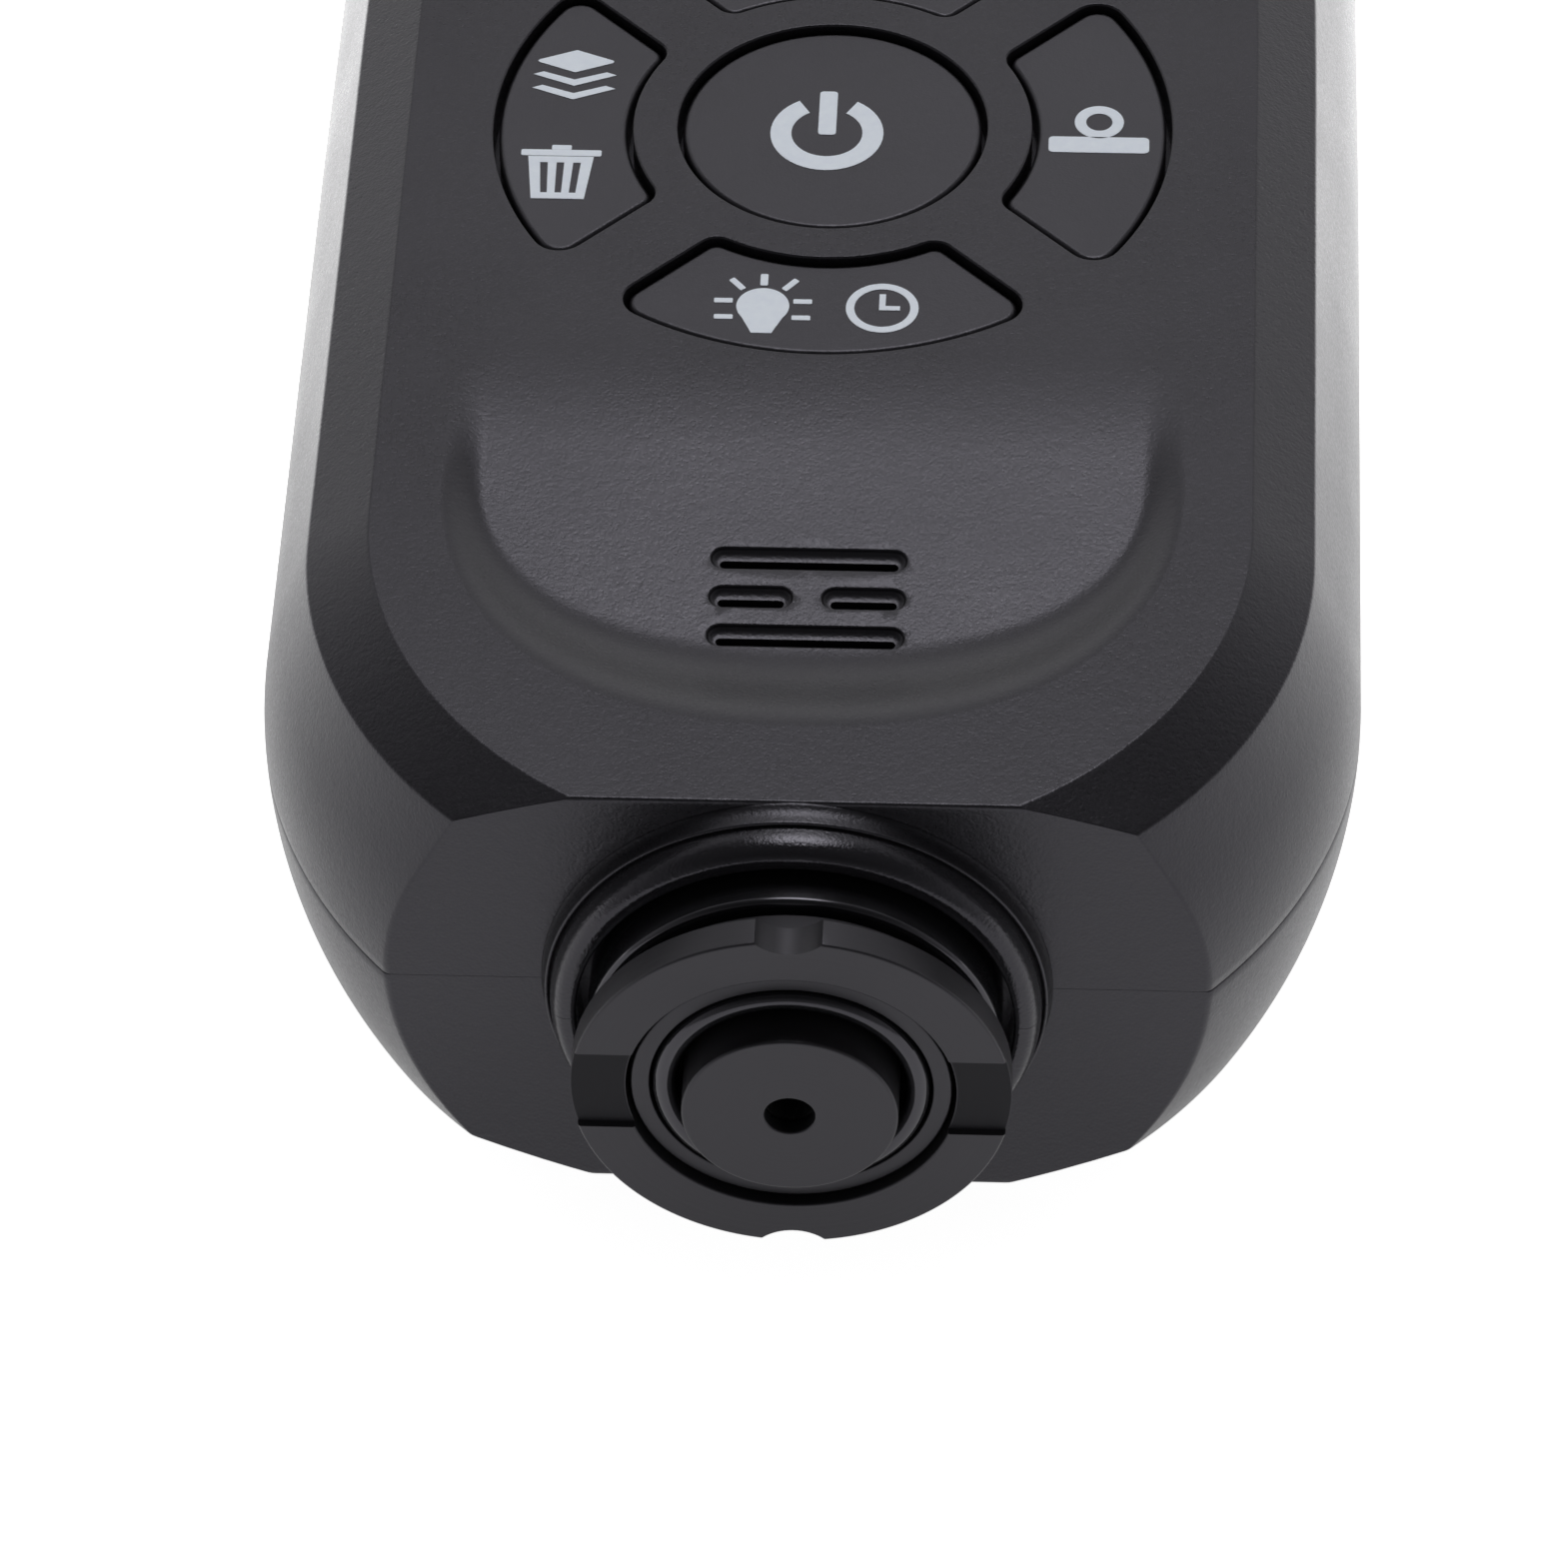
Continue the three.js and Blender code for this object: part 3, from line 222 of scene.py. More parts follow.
def tint(tree, value, dark, light, start=0.3, end=0.7):
    node = tree.nodes.new("ShaderNodeValToRGB")
    node.color_ramp.elements[0].position = start
    node.color_ramp.elements[0].color = (*dark, 1)
    node.color_ramp.elements[1].position = end
    node.color_ramp.elements[1].color = (*light, 1)
    tree.links.new(value, node.inputs["Fac"])
    return node.outputs["Color"]


def bump(tree, sockets, height, distance, strength=1.0, normal=None):
    node = tree.nodes.new("ShaderNodeBump")
    node.inputs["Distance"].default_value = distance
    node.inputs["Strength"].default_value = strength
    tree.links.new(height, node.inputs["Height"])
    if normal is not None:
        tree.links.new(normal, node.inputs["Normal"])
    tree.links.new(node.outputs["Normal"], sockets["Normal"])
    return node.outputs["Normal"]


def maths(tree, operation, *values, kind="ShaderNodeMath", output=0):
    """One maths node. Each value is a socket, a number or a vector."""
    node = tree.nodes.new(kind)
    node.operation = operation
    for socket, value in zip(node.inputs, values):
        if isinstance(value, bpy.types.NodeSocket):
            tree.links.new(value, socket)
        else:
            socket.default_value = value
    return node.outputs[output]


def vector_maths(tree, operation, *values, output="Vector"):
    return maths(tree, operation, *values, kind="ShaderNodeVectorMath", output=output)


def axes_of(tree, vector):
    node = tree.nodes.new("ShaderNodeSeparateXYZ")
    tree.links.new(vector, node.inputs[0])
    return node.outputs


def vector_from(tree, x, y):
    node = tree.nodes.new("ShaderNodeCombineXYZ")
    tree.links.new(x, node.inputs["X"])
    tree.links.new(y, node.inputs["Y"])
    return node.outputs[0]


def mottle(tree, sockets, value, color):
    dark = tuple(c * 0.9 for c in color)
    light = tuple(c * 1.12 for c in color)
    tree.links.new(tint(tree, value, dark, light), sockets["Base Color"])


def moulded_plastic(name, color, roughness, grain, grain_height, specular=0.5):
    """Plastic from a textured mould: a fine pebble and a slow change of gloss, polished on the boss."""
    material, tree, sockets, where = new_material(name, color, roughness, specular=specular)
    sockets["Specular Tint"].default_value = (0.90, 0.87, 1.0, 1)
    along = axes_of(tree, where)["Y"]
    polish = ramp(tree, along, FLAT_END_Y - 2.2 * MM, FLAT_END_Y - 1.2 * MM, -0.18, 0)
    cloud = noise(tree, where, 90, 3)
    mottle(tree, sockets, cloud, color)
    fine = noise(tree, where, grain, 3, 0.6)
    slow_gloss = spread(tree, cloud, roughness - 0.03, roughness + 0.03)
    gloss = maths(tree, "ADD", slow_gloss, spread(tree, fine, -0.05, 0.05))
    tree.links.new(maths(tree, "ADD", gloss, polish), sockets["Roughness"])
    pebble = bump(tree, sockets, fine, grain_height)
    bump(tree, sockets, noise(tree, where, grain * 0.3, 2), grain_height * 1.2, 0.5, pebble)
    return material


def turned_plastic(name, color, roughness, specular=0.5):
    """A turned part: faint tool rings about the probe axis, and a slow change of gloss."""
    material, tree, sockets, where = new_material(name, color, roughness, specular=specular)
    sockets["Specular Tint"].default_value = (0.91, 0.88, 1.0, 1)
    from_axis = axes_of(tree, vector_maths(tree, "SUBTRACT", where, place(0, 0, SEAM_Z)))
    radius = vector_maths(tree, "LENGTH", vector_from(tree, from_axis["X"], from_axis["Z"]), output="Value")
    lines = noise(tree, vector_from(tree, radius, from_axis["Y"]), 5200, 2, 0.6)
    cloud = noise(tree, where, 160, 3)
    mottle(tree, sockets, cloud, color)
    tree.links.new(spread(tree, cloud, roughness - 0.05, roughness + 0.05), sockets["Roughness"])
    bump(tree, sockets, lines, 0.000006)
    return material


def smooth_metal(name, color, roughness, scale=900):
    """Plated or drawn metal with fine scratches."""
    material, tree, sockets, where = new_material(name, color, roughness, metallic=1.0)
    marks = noise(tree, where, scale, 4, 0.6)
    dark = tuple(c * 0.82 for c in color)
    tree.links.new(tint(tree, marks, dark, color), sockets["Base Color"])
    tree.links.new(spread(tree, marks, roughness - 0.08, roughness + 0.12), sockets["Roughness"])
    bump(tree, sockets, marks, 0.000004)
    return material


def speckled(name, dark, light, roughness, scale, height=0.00001):
    material, tree, sockets, where = new_material(name, light, roughness)
    grain = noise(tree, where, scale, 4, 0.6)
    tree.links.new(tint(tree, grain, dark, light), sockets["Base Color"])
    tree.links.new(spread(tree, grain, roughness - 0.06, roughness + 0.06), sockets["Roughness"])
    bump(tree, sockets, grain, height)
    return material


def tinted_glass(name):
    material, tree, sockets, where = new_material(name, (0.30, 0.33, 0.33), 0.04)
    sockets["Transmission Weight"].default_value = 1.0
    sockets["IOR"].default_value = 1.49
    smear = noise(tree, where, 60, 4)
    tree.links.new(spread(tree, smear, 0.02, 0.09), sockets["Roughness"])
    return material


LOOKS = {
    "case_black": moulded_plastic("case_plastic", (0.0115, 0.0110, 0.0128), 0.32, 5200, 0.000022, 0.42),
    "key_black": moulded_plastic("key_plastic", (0.0115, 0.0110, 0.0128), 0.36, 6500, 0.000012, 0.5),
    "turned_black": turned_plastic("turned_plastic", (0.0115, 0.0112, 0.0125), 0.4, 0.42),
    "gloss_black": turned_plastic("gloss_plastic", (0.008, 0.008, 0.009), 0.16, 0.6),
    "window_glass": tinted_glass("window_tint"),
    "lcd": speckled("lcd_face", (0.20, 0.23, 0.18), (0.26, 0.29, 0.23), 0.3, 400),
    "white_plastic": speckled("white_moulding", (0.62, 0.62, 0.58), (0.72, 0.72, 0.69), 0.5, 700),
    "board_green": speckled("solder_mask", (0.010, 0.060, 0.022), (0.020, 0.105, 0.040), 0.35, 500),
    "chip_black": speckled("chip_epoxy", (0.012, 0.012, 0.012), (0.024, 0.024, 0.025), 0.6, 2500),
    "silicone": speckled("silicone_rubber", (0.030, 0.030, 0.031), (0.045, 0.045, 0.047), 0.75, 900),
    "steel": smooth_metal("plated_steel", (0.56, 0.57, 0.58), 0.3),
    "copper": smooth_metal("enamelled_copper", (0.72, 0.33, 0.17), 0.3, 1800),
    "ferrite": speckled("ferrite_core", (0.010, 0.010, 0.010), (0.022, 0.021, 0.021), 0.6, 2200),
    "battery_skin": speckled("battery_sleeve", (0.035, 0.09, 0.22), (0.05, 0.12, 0.27), 0.3, 300),
}
# Painted shade: a darker, less glossy black, used only for the thin sheet on each collar notch floor, standing in
# for the shade deep in the notch.
NOTCH_SHADE = turned_plastic("notch_painted_shade", (0.006, 0.006, 0.007), 0.45, 0.14)
PRINT = speckled("key_print", (0.80, 0.86, 0.96), (0.86, 0.92, 1.0), 0.5, 1500, 0.000004)


# ---- mesh helpers -------------------------------------------------------------------------------

def add_mesh(name, vertices, faces):
    """A new object in case coordinates. It stays in millimetres until finish_piece."""
    mesh = bpy.data.meshes.new(name)
    mesh.from_pydata([tuple(round(c, 4) for c in vertex) for vertex in vertices], [], faces)
    mesh.validate()
    mesh.update()
    piece = bpy.data.objects.new(name, mesh)
    bpy.context.scene.collection.objects.link(piece)
    return piece


def face_outwards(piece):
    work = bmesh.new()
    work.from_mesh(piece.data)
    bmesh.ops.remove_doubles(work, verts=work.verts, dist=1e-4)
    bmesh.ops.recalc_face_normals(work, faces=work.faces)
    if work.calc_volume(signed=True) < 0:
        bmesh.ops.reverse_faces(work, faces=work.faces)
    work.to_mesh(piece.data)
    work.free()
    return piece


def loft(name, rings):
    """A closed skin over rings with equal point counts, with a flat cap at each end."""
    count = len(rings[0])
    vertices = [vertex for ring in rings for vertex in ring]
    faces = [tuple(reversed(range(count)))]
    for level in range(len(rings) - 1):
        start = level * count
        for i in range(count):
            j = (i + 1) % count
            faces.append((start + i, start + j, start + count + j, start + count + i))
    last = (len(rings) - 1) * count
    faces.append(tuple(range(last, last + count)))
    return face_outwards(add_mesh(name, vertices, faces))


def lathe(name, profile, sides=128, middle_z=SEAM_Z):
    """A ring about the probe axis from a closed profile of (radius, out). Radius 0 closes on the axis."""
    vertices = []
    for step in range(sides):
        angle = 2 * math.pi * step / sides
        for radius, out in profile:
            vertices.append((radius * math.cos(angle), -out, middle_z + radius * math.sin(angle)))
    count = len(profile)
    faces = []
    for step in range(sides):
        here = step * count
        there = ((step + 1) % sides) * count
        for i in range(count):
            j = (i + 1) % count
            if profile[i][0] == 0 and profile[j][0] == 0:
                continue
            faces.append((here + i, here + j, there + j, there + i))
    return face_outwards(add_mesh(name, vertices, faces))


def arc(x, y, radius, start, end, steps):
    """Points from one angle to another, both included. The radius may be a pair, across and up."""
    across, up = radius if isinstance(radius, tuple) else (radius, radius)
    angles = [start + (end - start) * k / steps for k in range(steps + 1)]
    return [(x + across * math.cos(angle), y + up * math.sin(angle)) for angle in angles]


def round_outline(x, y, radius, sides=48):
    return arc(x, y, radius, 0, 2 * math.pi, sides)[:-1]


def circle(x, y, radius, z, sides=48):
    return [(px, py, z) for px, py in round_outline(x, y, radius, sides)]


def stack(outline, profile):
    """Rings from an outline(grow) at each (grow, z) of a profile."""
    return [[(x, y, z) for x, y in outline(grow)] for grow, z in profile]


def lip_profile(lip, steps):
    """(grow, z) round a hole's edge, ending just above the face."""
    return arc(lip, -lip, (lip, lip + 0.003), math.pi, math.pi / 2, steps)


def rounded(points, radii, steps=5):
    """A closed outline with its corners rounded, each by its own radius."""
    result = []
    count = len(points)
    for i, corner in enumerate(points):
        radius = radii[i] if isinstance(radii, (list, tuple)) else radii
        here = Vector(corner)
        to_last = Vector(points[i - 1]) - here
        to_next = Vector(points[(i + 1) % count]) - here
        if radius <= 0:
            result.append(tuple(here))
            continue
        half = to_last.angle(to_next) / 2
        reach = radius / math.tan(half)
        limit = 0.49 * min(to_last.length, to_next.length)
        reach = min(reach, limit)
        radius = reach * math.tan(half)
        start = here + to_last.normalized() * reach
        end = here + to_next.normalized() * reach
        middle = here + (to_last.normalized() + to_next.normalized()).normalized() * (radius / math.sin(half))
        first = start - middle
        second = end - middle
        sweep = first.angle_signed(second) if first.length > 0 else 0
        for k in range(steps + 1):
            turn = Matrix.Rotation(-sweep * k / steps, 2)
            result.append(tuple(middle + turn @ first))
    return result


def block(name, low, high):
    corners = [(x, y, z) for z in (low[2], high[2]) for y in (low[1], high[1]) for x in (low[0], high[0])]
    faces = [(0, 2, 3, 1), (4, 5, 7, 6), (0, 1, 5, 4), (2, 6, 7, 3), (0, 4, 6, 2), (1, 3, 7, 5)]
    return face_outwards(add_mesh(name, corners, faces))


def combine(piece, tool, how):
    """An exact boolean, applied. how is UNION, DIFFERENCE or INTERSECT. The tool is used up."""
    modifier = piece.modifiers.new("join", "BOOLEAN")
    modifier.operation = how
    modifier.solver = "EXACT"
    modifier.object = tool
    evaluated = piece.evaluated_get(bpy.context.evaluated_depsgraph_get())
    result = bpy.data.meshes.new_from_object(evaluated)
    piece.modifiers.clear()
    old = piece.data
    piece.data = result
    bpy.data.meshes.remove(old)
    bpy.data.objects.remove(tool)
    return piece


def cut(piece, *tools):
    for tool in tools:
        piece = combine(piece, tool, "DIFFERENCE")
    return piece


def finish_piece(piece, body, look, replaced=(), angle=38, weighted=True):
    """Smooth shading with sharp corners kept, a material, a body and the CAD nodes it stands for."""
    mesh = piece.data
    mesh.transform(Matrix.Translation(place(0, 0, 0)) @ Matrix.Scale(MM, 4))
    mesh.materials.clear()
    mesh.materials.append(PRINT if look == "print" else LOOKS[look])
    for polygon in mesh.polygons:
        polygon.material_index = 0
        polygon.use_smooth = True
    mesh.set_sharp_from_angle(angle=math.radians(angle))
    if weighted:
        modifier = piece.modifiers.new("flat_faces", "WEIGHTED_NORMAL")
        modifier.keep_sharp = True
        modifier.weight = 80
    if body:
        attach(piece, body)
    if replaced:
        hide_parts(*replaced)
    return piece


# ---- case ---------------------------------------------------------------------------------------

def case_ring(z, inset, flat_y=0.0, corner=0.25, arc_shift=0.0):
    """The case's outline at one height, with the corners of the flat end rounded."""
    arc_y = END_ARC_Y + arc_shift
    radius = HALF_WIDTH - inset + END_ARC_OFFSET
    corner_y = flat_y + corner
    reach = math.sqrt((radius - corner) ** 2 - (arc_y - corner_y) ** 2)
    corner_x = reach - END_ARC_OFFSET
    start = math.atan2(corner_y - arc_y, reach)
    right = [(corner_x * k / 6, flat_y) for k in range(1, 6)]
    right += arc(corner_x, corner_y, corner, -math.pi / 2, start, 6)[:-1]
    right += arc(-END_ARC_OFFSET, arc_y, radius, start, 0, 44)
    for k in range(1, 5):
        share = k / 4
        right.append((HALF_WIDTH - inset + SIDE_FLARE * share, arc_y + (FLARE_END_Y - arc_y) * share))
    right += arc(TOP_HALF_WIDTH - CORNER_RADIUS, CASE_LENGTH - CORNER_RADIUS, CORNER_RADIUS - inset,
                 0, math.pi / 2, 24)
    left = [(-x, y) for x, y in reversed(right)]
    top_y = CASE_LENGTH - inset
    outline = [(0, flat_y)] + right + [(0, top_y)] + left
    return [(x, y, z) for x, y in outline]


def front_inset(height):
    tangent = CROWN_SLOPE * CROWN_RADIUS
    if height <= tangent:
        return height * height / (2 * CROWN_RADIUS)
    return tangent * tangent / (2 * CROWN_RADIUS) + CROWN_SLOPE * (height - tangent)


def back_inset(height):
    full = CASE_DEPTH - SEAM_DEPTH - BACK_CHAMFER_DEPTH
    return (HALF_WIDTH - CHAMFER_HALF_WIDTH) * (height / full) ** 2


def arc_between(before, corner, after, radius, steps=5):
    """The points of a round of that radius at a corner of a section."""
    corner = Vector(corner)
    to_before = (Vector(before) - corner).normalized()
    to_after = (Vector(after) - corner).normalized()
    half = to_before.angle(to_after) / 2
    start = corner + to_before * (radius / math.tan(half))
    end = corner + to_after * (radius / math.tan(half))
    middle = corner + (to_before + to_after).normalized() * (radius / math.sin(half))
    points = []
    for k in range(steps + 1):
        mix = start.lerp(end, k / steps) - middle
        points.append(tuple(middle + mix.normalized() * radius))
    return points


def case_section(side):
    """(inset, height from the seam) from the seam to the flat face, with every edge rounded.
    side is 1 for the front shell and -1 for the rear one."""
    depth = SEAM_DEPTH if side > 0 else CASE_DEPTH - SEAM_DEPTH
    chamfer = FACE_CHAMFER_DEPTH if side > 0 else BACK_CHAMFER_DEPTH
    flat_inset = HALF_WIDTH - (FACE_HALF_WIDTH if side > 0 else BACK_HALF_WIDTH)
    inset_at = front_inset if side > 0 else back_inset
    wall_top = depth - chamfer
    seam_round = 0.06
    points = [(seam_round, SEAM_LINE), (seam_round * 0.35, SEAM_LINE + seam_round * 0.35),
              (0, SEAM_LINE + seam_round)]
    steps = 18
    for k in range(1, steps):
        height = wall_top * k / steps
        points.append((inset_at(height), height))
    edge = (inset_at(wall_top), wall_top)
    corner = (flat_inset, depth)
    edge_round = 0.35 if side > 0 else 0.8
    points += arc_between(points[-1], edge, corner, edge_round)
    top_round = arc_between(edge, corner, (flat_inset + 1, depth), 0.3 if side > 0 else 0.8)
    for share in (0.3, 0.6, 0.8, 0.9, 0.95):
        inset = edge[0] + (corner[0] - edge[0]) * share
        if inset < top_round[0][0] - 0.02:
            points.append((inset, edge[1] + (corner[1] - edge[1]) * share))
    return points + top_round


def case_rings(side):
    depth = SEAM_DEPTH if side > 0 else CASE_DEPTH - SEAM_DEPTH
    chamfer = FACE_CHAMFER_DEPTH if side > 0 else BACK_CHAMFER_DEPTH
    rings = []
    for inset, height in case_section(side):
        below = depth - height
        flat_y = 0.0
        if below < END_EDGE_ROUND:
            flat_y = END_EDGE_ROUND - math.sqrt(max(0, END_EDGE_ROUND ** 2 - (END_EDGE_ROUND - below) ** 2))
        share = min(1, max(0, (height - depth + chamfer) / chamfer))
        corner = 0.6 - 0.35 * min(1, height / (depth - chamfer))
        ring = case_ring(SEAM_Z + side * height, inset, flat_y, corner, FACE_ARC_SHIFT * share)
        rings.append(ring)
    return rings if side > 0 else rings[::-1]


def hollow_rings():
    """The inside of the case, a wall in from its outside."""
    corner = 0.5
    shares = (0.3, 0.6, 0.92)
    rear_height = CASE_DEPTH - SEAM_DEPTH - BACK_CHAMFER_DEPTH
    front_height = SEAM_DEPTH - FACE_CHAMFER_DEPTH
    levels = [(BACK_Z + WALL, HALF_WIDTH - BACK_HALF_WIDTH + WALL / 2)]
    levels += [(SEAM_Z - rear_height * share, back_inset(rear_height * share) + WALL) for share in shares[::-1]]
    levels.append((SEAM_Z, WALL))
    levels += [(SEAM_Z + front_height * share, front_inset(front_height * share) + WALL) for share in shares]
    levels.append((-WALL, HALF_WIDTH - FACE_HALF_WIDTH + WALL / 2))
    return [case_ring(z, inset, END_WALL, corner) for z, inset in levels]


def rest_depth(y):
    """Depth of the thumb rest's floor. The slope starts softly, and above the rest it comes out of the face."""
    distance = REST_START_Y + REST_EASE / 2 - y
    if distance < 0:
        return 0.02 * distance
    if distance < REST_EASE:
        return REST_SLOPE * distance * distance / (2 * REST_EASE)
    return REST_SLOPE * (distance - REST_EASE / 2)


def rest_outline(half_width, reach, steps=72):
    exponent = 2 / REST_SQUARENESS
    top_y = REST_START_Y + REST_EASE / 2 + 0.5
    straight = [REST_CENTRE_Y + (top_y - REST_CENTRE_Y) * k / 14 for k in range(14, 0, -1)]
    points = [(-half_width, y) for y in straight]
    for k in range(steps + 1):
        angle = math.pi * k / steps
        across = -math.cos(angle)
        along = max(0.0, math.sin(angle))
        x = half_width * math.copysign(abs(across) ** exponent, across)
        points.append((x, REST_CENTRE_Y - reach * along ** exponent))
    points += [(half_width, y) for y in reversed(straight)]
    count = 24
    points += [(half_width * (1 - 2 * k / count), top_y) for k in range(1, count)]
    return points


def rest_tool(lowered, top_z):
    """What is cut away for the thumb rest, or with a wall's depth its underside."""
    floor = rest_outline(*REST_FLOOR)
    rim = rest_outline(*REST_RIM)
    rim_lift = 0.004
    rings = []
    middle_y = REST_CENTRE_Y
    floor_steps = 16
    for k in range(1, floor_steps):
        share = k / floor_steps
        ring = [(x * share, middle_y + (y - middle_y) * share) for x, y in floor]
        rings.append([(x, y, -rest_depth(y) - lowered) for x, y in ring])
    steps = 22
    for k in range(steps + 1):
        t = k / steps
        rise = t * t * (3 - 2 * t)
        ring = []
        for (fx, fy), (rx, ry) in zip(floor, rim):
            x = fx + (rx - fx) * t
            y = fy + (ry - fy) * t
            ring.append((x, y, -rest_depth(y) * (1 - rise) + rim_lift * t - lowered))
        rings.append(ring)
    rings.append([(x, y, top_z) for x, y in rim])
    return loft("rest_tool", rings)


def lipped_tool(name, outline, depth, lip):
    """A cutter that goes down through a face and rounds the hole's edge. outline(grow) gives its points."""
    return loft(name, stack(outline, [(0, -depth), *lip_profile(lip, 6), (lip, TOOL_TOP)]))


def slot_outline(x, y, length):
    def outline(grow):
        radius = SLOT_WIDTH / 2 + grow
        reach = (length - SLOT_WIDTH) / 2
        right = arc(x + reach, y, radius, -math.pi / 2, math.pi / 2, 12)
        return right + arc(x - reach, y, radius, math.pi / 2, math.pi * 1.5, 12)
    return outline


def slot_tool(x, y, length):
    """A slot in the rest's sloping floor: a rounded edge, a bowl-shaped mouth, and a narrow throat
    on the side towards the probe."""
    outline = slot_outline(x, y, length)
    bowl = SLOT_WIDTH / 2 - SLOT_THROAT_HALF
    throat_bottom = -4.5
    rings = [[(px, py - SLOT_THROAT_SHIFT, throat_bottom) for px, py in outline(-bowl - 0.03)]]
    for inset, z in arc(bowl, -SLOT_LIP, (bowl, SLOT_BOWL - SLOT_LIP), -math.pi / 2, -math.pi, 7):
        rings.append([(px, py - SLOT_THROAT_SHIFT * inset / bowl, z) for px, py in outline(-inset)])
    rings += stack(outline, [*lip_profile(SLOT_LIP, 7)[1:], (SLOT_LIP, TOOL_TOP)])
    return loft("slot", [[(px, py, z - REST_SLOPE * (REST_START_Y - py)) for px, py, z in ring] for ring in rings])


def sound_slots():
    shift = (SLOT_LENGTH - SLOT_SHORT) / 2
    rows = [(0, SLOT_PITCH, SLOT_LENGTH), (0, -SLOT_PITCH, SLOT_LENGTH),
            (-shift, 0, SLOT_SHORT), (shift, 0, SLOT_SHORT)]
    return [slot_tool(x, SLOT_MIDDLE_Y + row_y, length) for x, row_y, length in rows]


def boss():
    """Raised ring round the probe: a soft foot, a low shoulder, a groove, and a wide bead with a flat front."""
    inner_round = 0.3
    outer_round = 0.8
    outer_length = 1.45
    bead_edge = 12.6
    valley_out = 0.95
    shoulder_out = 1.05
    shoulder_round = 0.1
    shoulder_middle = bead_edge + 0.22
    foot = SEAM_DEPTH - 0.06
    profile = [(BOSS_BORE, -1)]
    profile += arc(BOSS_BORE + inner_round, BOSS_REACH - inner_round, inner_round, math.pi, math.pi / 2, 8)
    profile += arc(bead_edge - outer_round, BOSS_REACH - outer_length, (outer_round, outer_length),
                   math.pi / 2, 0, 12)
    profile += [(bead_edge + 0.01, valley_out + 0.06), (bead_edge + 0.05, valley_out)]
    profile += arc(shoulder_middle, shoulder_out, shoulder_round, math.pi, 0, 6)
    start = shoulder_middle + shoulder_round
    steps = 10
    for k in range(1, steps + 1):
        share = k / steps
        profile.append((start + (foot - start) * share ** 3, shoulder_out * (1 - share) + 0.01))
    profile.append((foot, -1))
    return lathe("boss_tool", profile, 160)


def ring_key_outline(turns):
    """The outline of one ring key about the wheel's centre. turns is in quarter turns from -Y."""
    def corner_at(web, corner, distance):
        gap = (web + corner) * math.sqrt(2)
        along = (gap + math.sqrt(2 * distance * distance - gap * gap)) / 2
        return along - gap, -along

    def outline(grow):
        inner = RING_INNER - grow
        outer = RING_OUTER + grow
        web = RING_WEB / 2 - grow
        tip_round = RING_TIP_CORNER + grow
        root_round = RING_ROOT_CORNER + grow
        tip = corner_at(web, tip_round, outer - tip_round)
        root = corner_at(web, root_round, inner + root_round)
        tip_angle = math.atan2(tip[1], tip[0])
        root_angle = math.atan2(root[1], root[0])
        slant = math.pi / 4
        half = arc(0, 0, outer, -math.pi / 2, tip_angle, 20)
        half += arc(*tip, tip_round, tip_angle, slant, 8)[1:]
        half += arc(*root, root_round, slant, root_angle + math.pi, 8)
        half += arc(0, 0, inner, root_angle, -math.pi / 2, 12)[1:]
        whole = half + [(-x, y) for x, y in reversed(half[1:-1])]
        turn = Matrix.Rotation(turns * math.pi / 2, 2)
        return [tuple(turn @ Vector(point) + Vector((0, WHEEL_Y))) for point in whole]
    return outline


def disc_outline(grow):
    return round_outline(0, WHEEL_Y, POWER_HOLE + grow, 96)


KEYS = {
    "power": disc_outline,
    "down": ring_key_outline(0),
    "right": ring_key_outline(1),
    "up": ring_key_outline(2),
    "left": ring_key_outline(3),
}


def window_outline(radius, corner):
    low, high = case_of("display_window")
    half_x = high[0] + radius
    low_y = low[1] - radius
    high_y = high[1] + radius
    corners = [(half_x, low_y), (half_x, high_y), (-half_x, high_y), (-half_x, low_y)]
    return rounded(corners, corner)


def half_case(name, side, seam_cut):
    """One half of the case with its boss, cut off at the seam and hollow."""
    shell = combine(loft(name, case_rings(side)), boss(), "UNION")
    return cut(shell, block("past_seam", *seam_cut), loft("hollow", hollow_rings()))


def probe_bores():
    bore = [(0, 1), (END_BORE, 1), (END_BORE, -4), (0, -4)]
    counterbore = [(0, 4), (BOSS_BORE, 4), (BOSS_BORE, 0.3), (0, 0.3)]
    return [lathe("bore", bore), lathe("counterbore", counterbore, 160)]


def post(name, x, y, radius, low, high):
    return loft(name, [circle(x, y, radius, low), circle(x, y, radius, high)])


def screw_places():
    """Each case screw's middle, and the height of its head's outer face."""
    places = []
    for index in range(1, 5):
        low, high = case_of(f"case_screw_{index}")
        places.append(((low[0] + high[0]) / 2, (low[1] + high[1]) / 2, low[2]))
    return places


def front_shell():
    seam = SEAM_Z + SEAM_LINE
    shell = half_case("shell_front", 1, ((-FAR, -FAR, -FAR), (FAR, FAR, seam)))
    for x, y, _ in screw_places():
        pillar = post("pillar", x, y, PILLAR_RADIUS, seam + 0.1, -WALL * 0.6)
        pillar = combine(pillar, loft("outside", case_rings(1)), "INTERSECT")
        shell = combine(shell, pillar, "UNION")
        shell = cut(shell, post("screw_hole", x, y, SCREW_HOLE_RADIUS, SEAM_Z - 1, SEAM_Z + 4))
    shell = combine(shell, rest_tool(REST_WALL, -WALL / 2), "UNION")
    shell = cut(shell, rest_tool(0, 1), *probe_bores(), *sound_slots())
    for outline in KEYS.values():
        shell = cut(shell, lipped_tool("key_tool", outline, 2 * WALL, HOLE_LIP))
    recess = lipped_tool("recess", lambda grow: window_outline(0.25 + grow, 1.2 + grow), 1.5, 0.15)
    opening = [[(x, y, z) for x, y in window_outline(-2.2, 0.8)] for z in (-2 * WALL, 1)]
    shell = cut(shell, recess, loft("opening", opening))
    return finish_piece(shell, "case", "case_black", ["front_shell"])


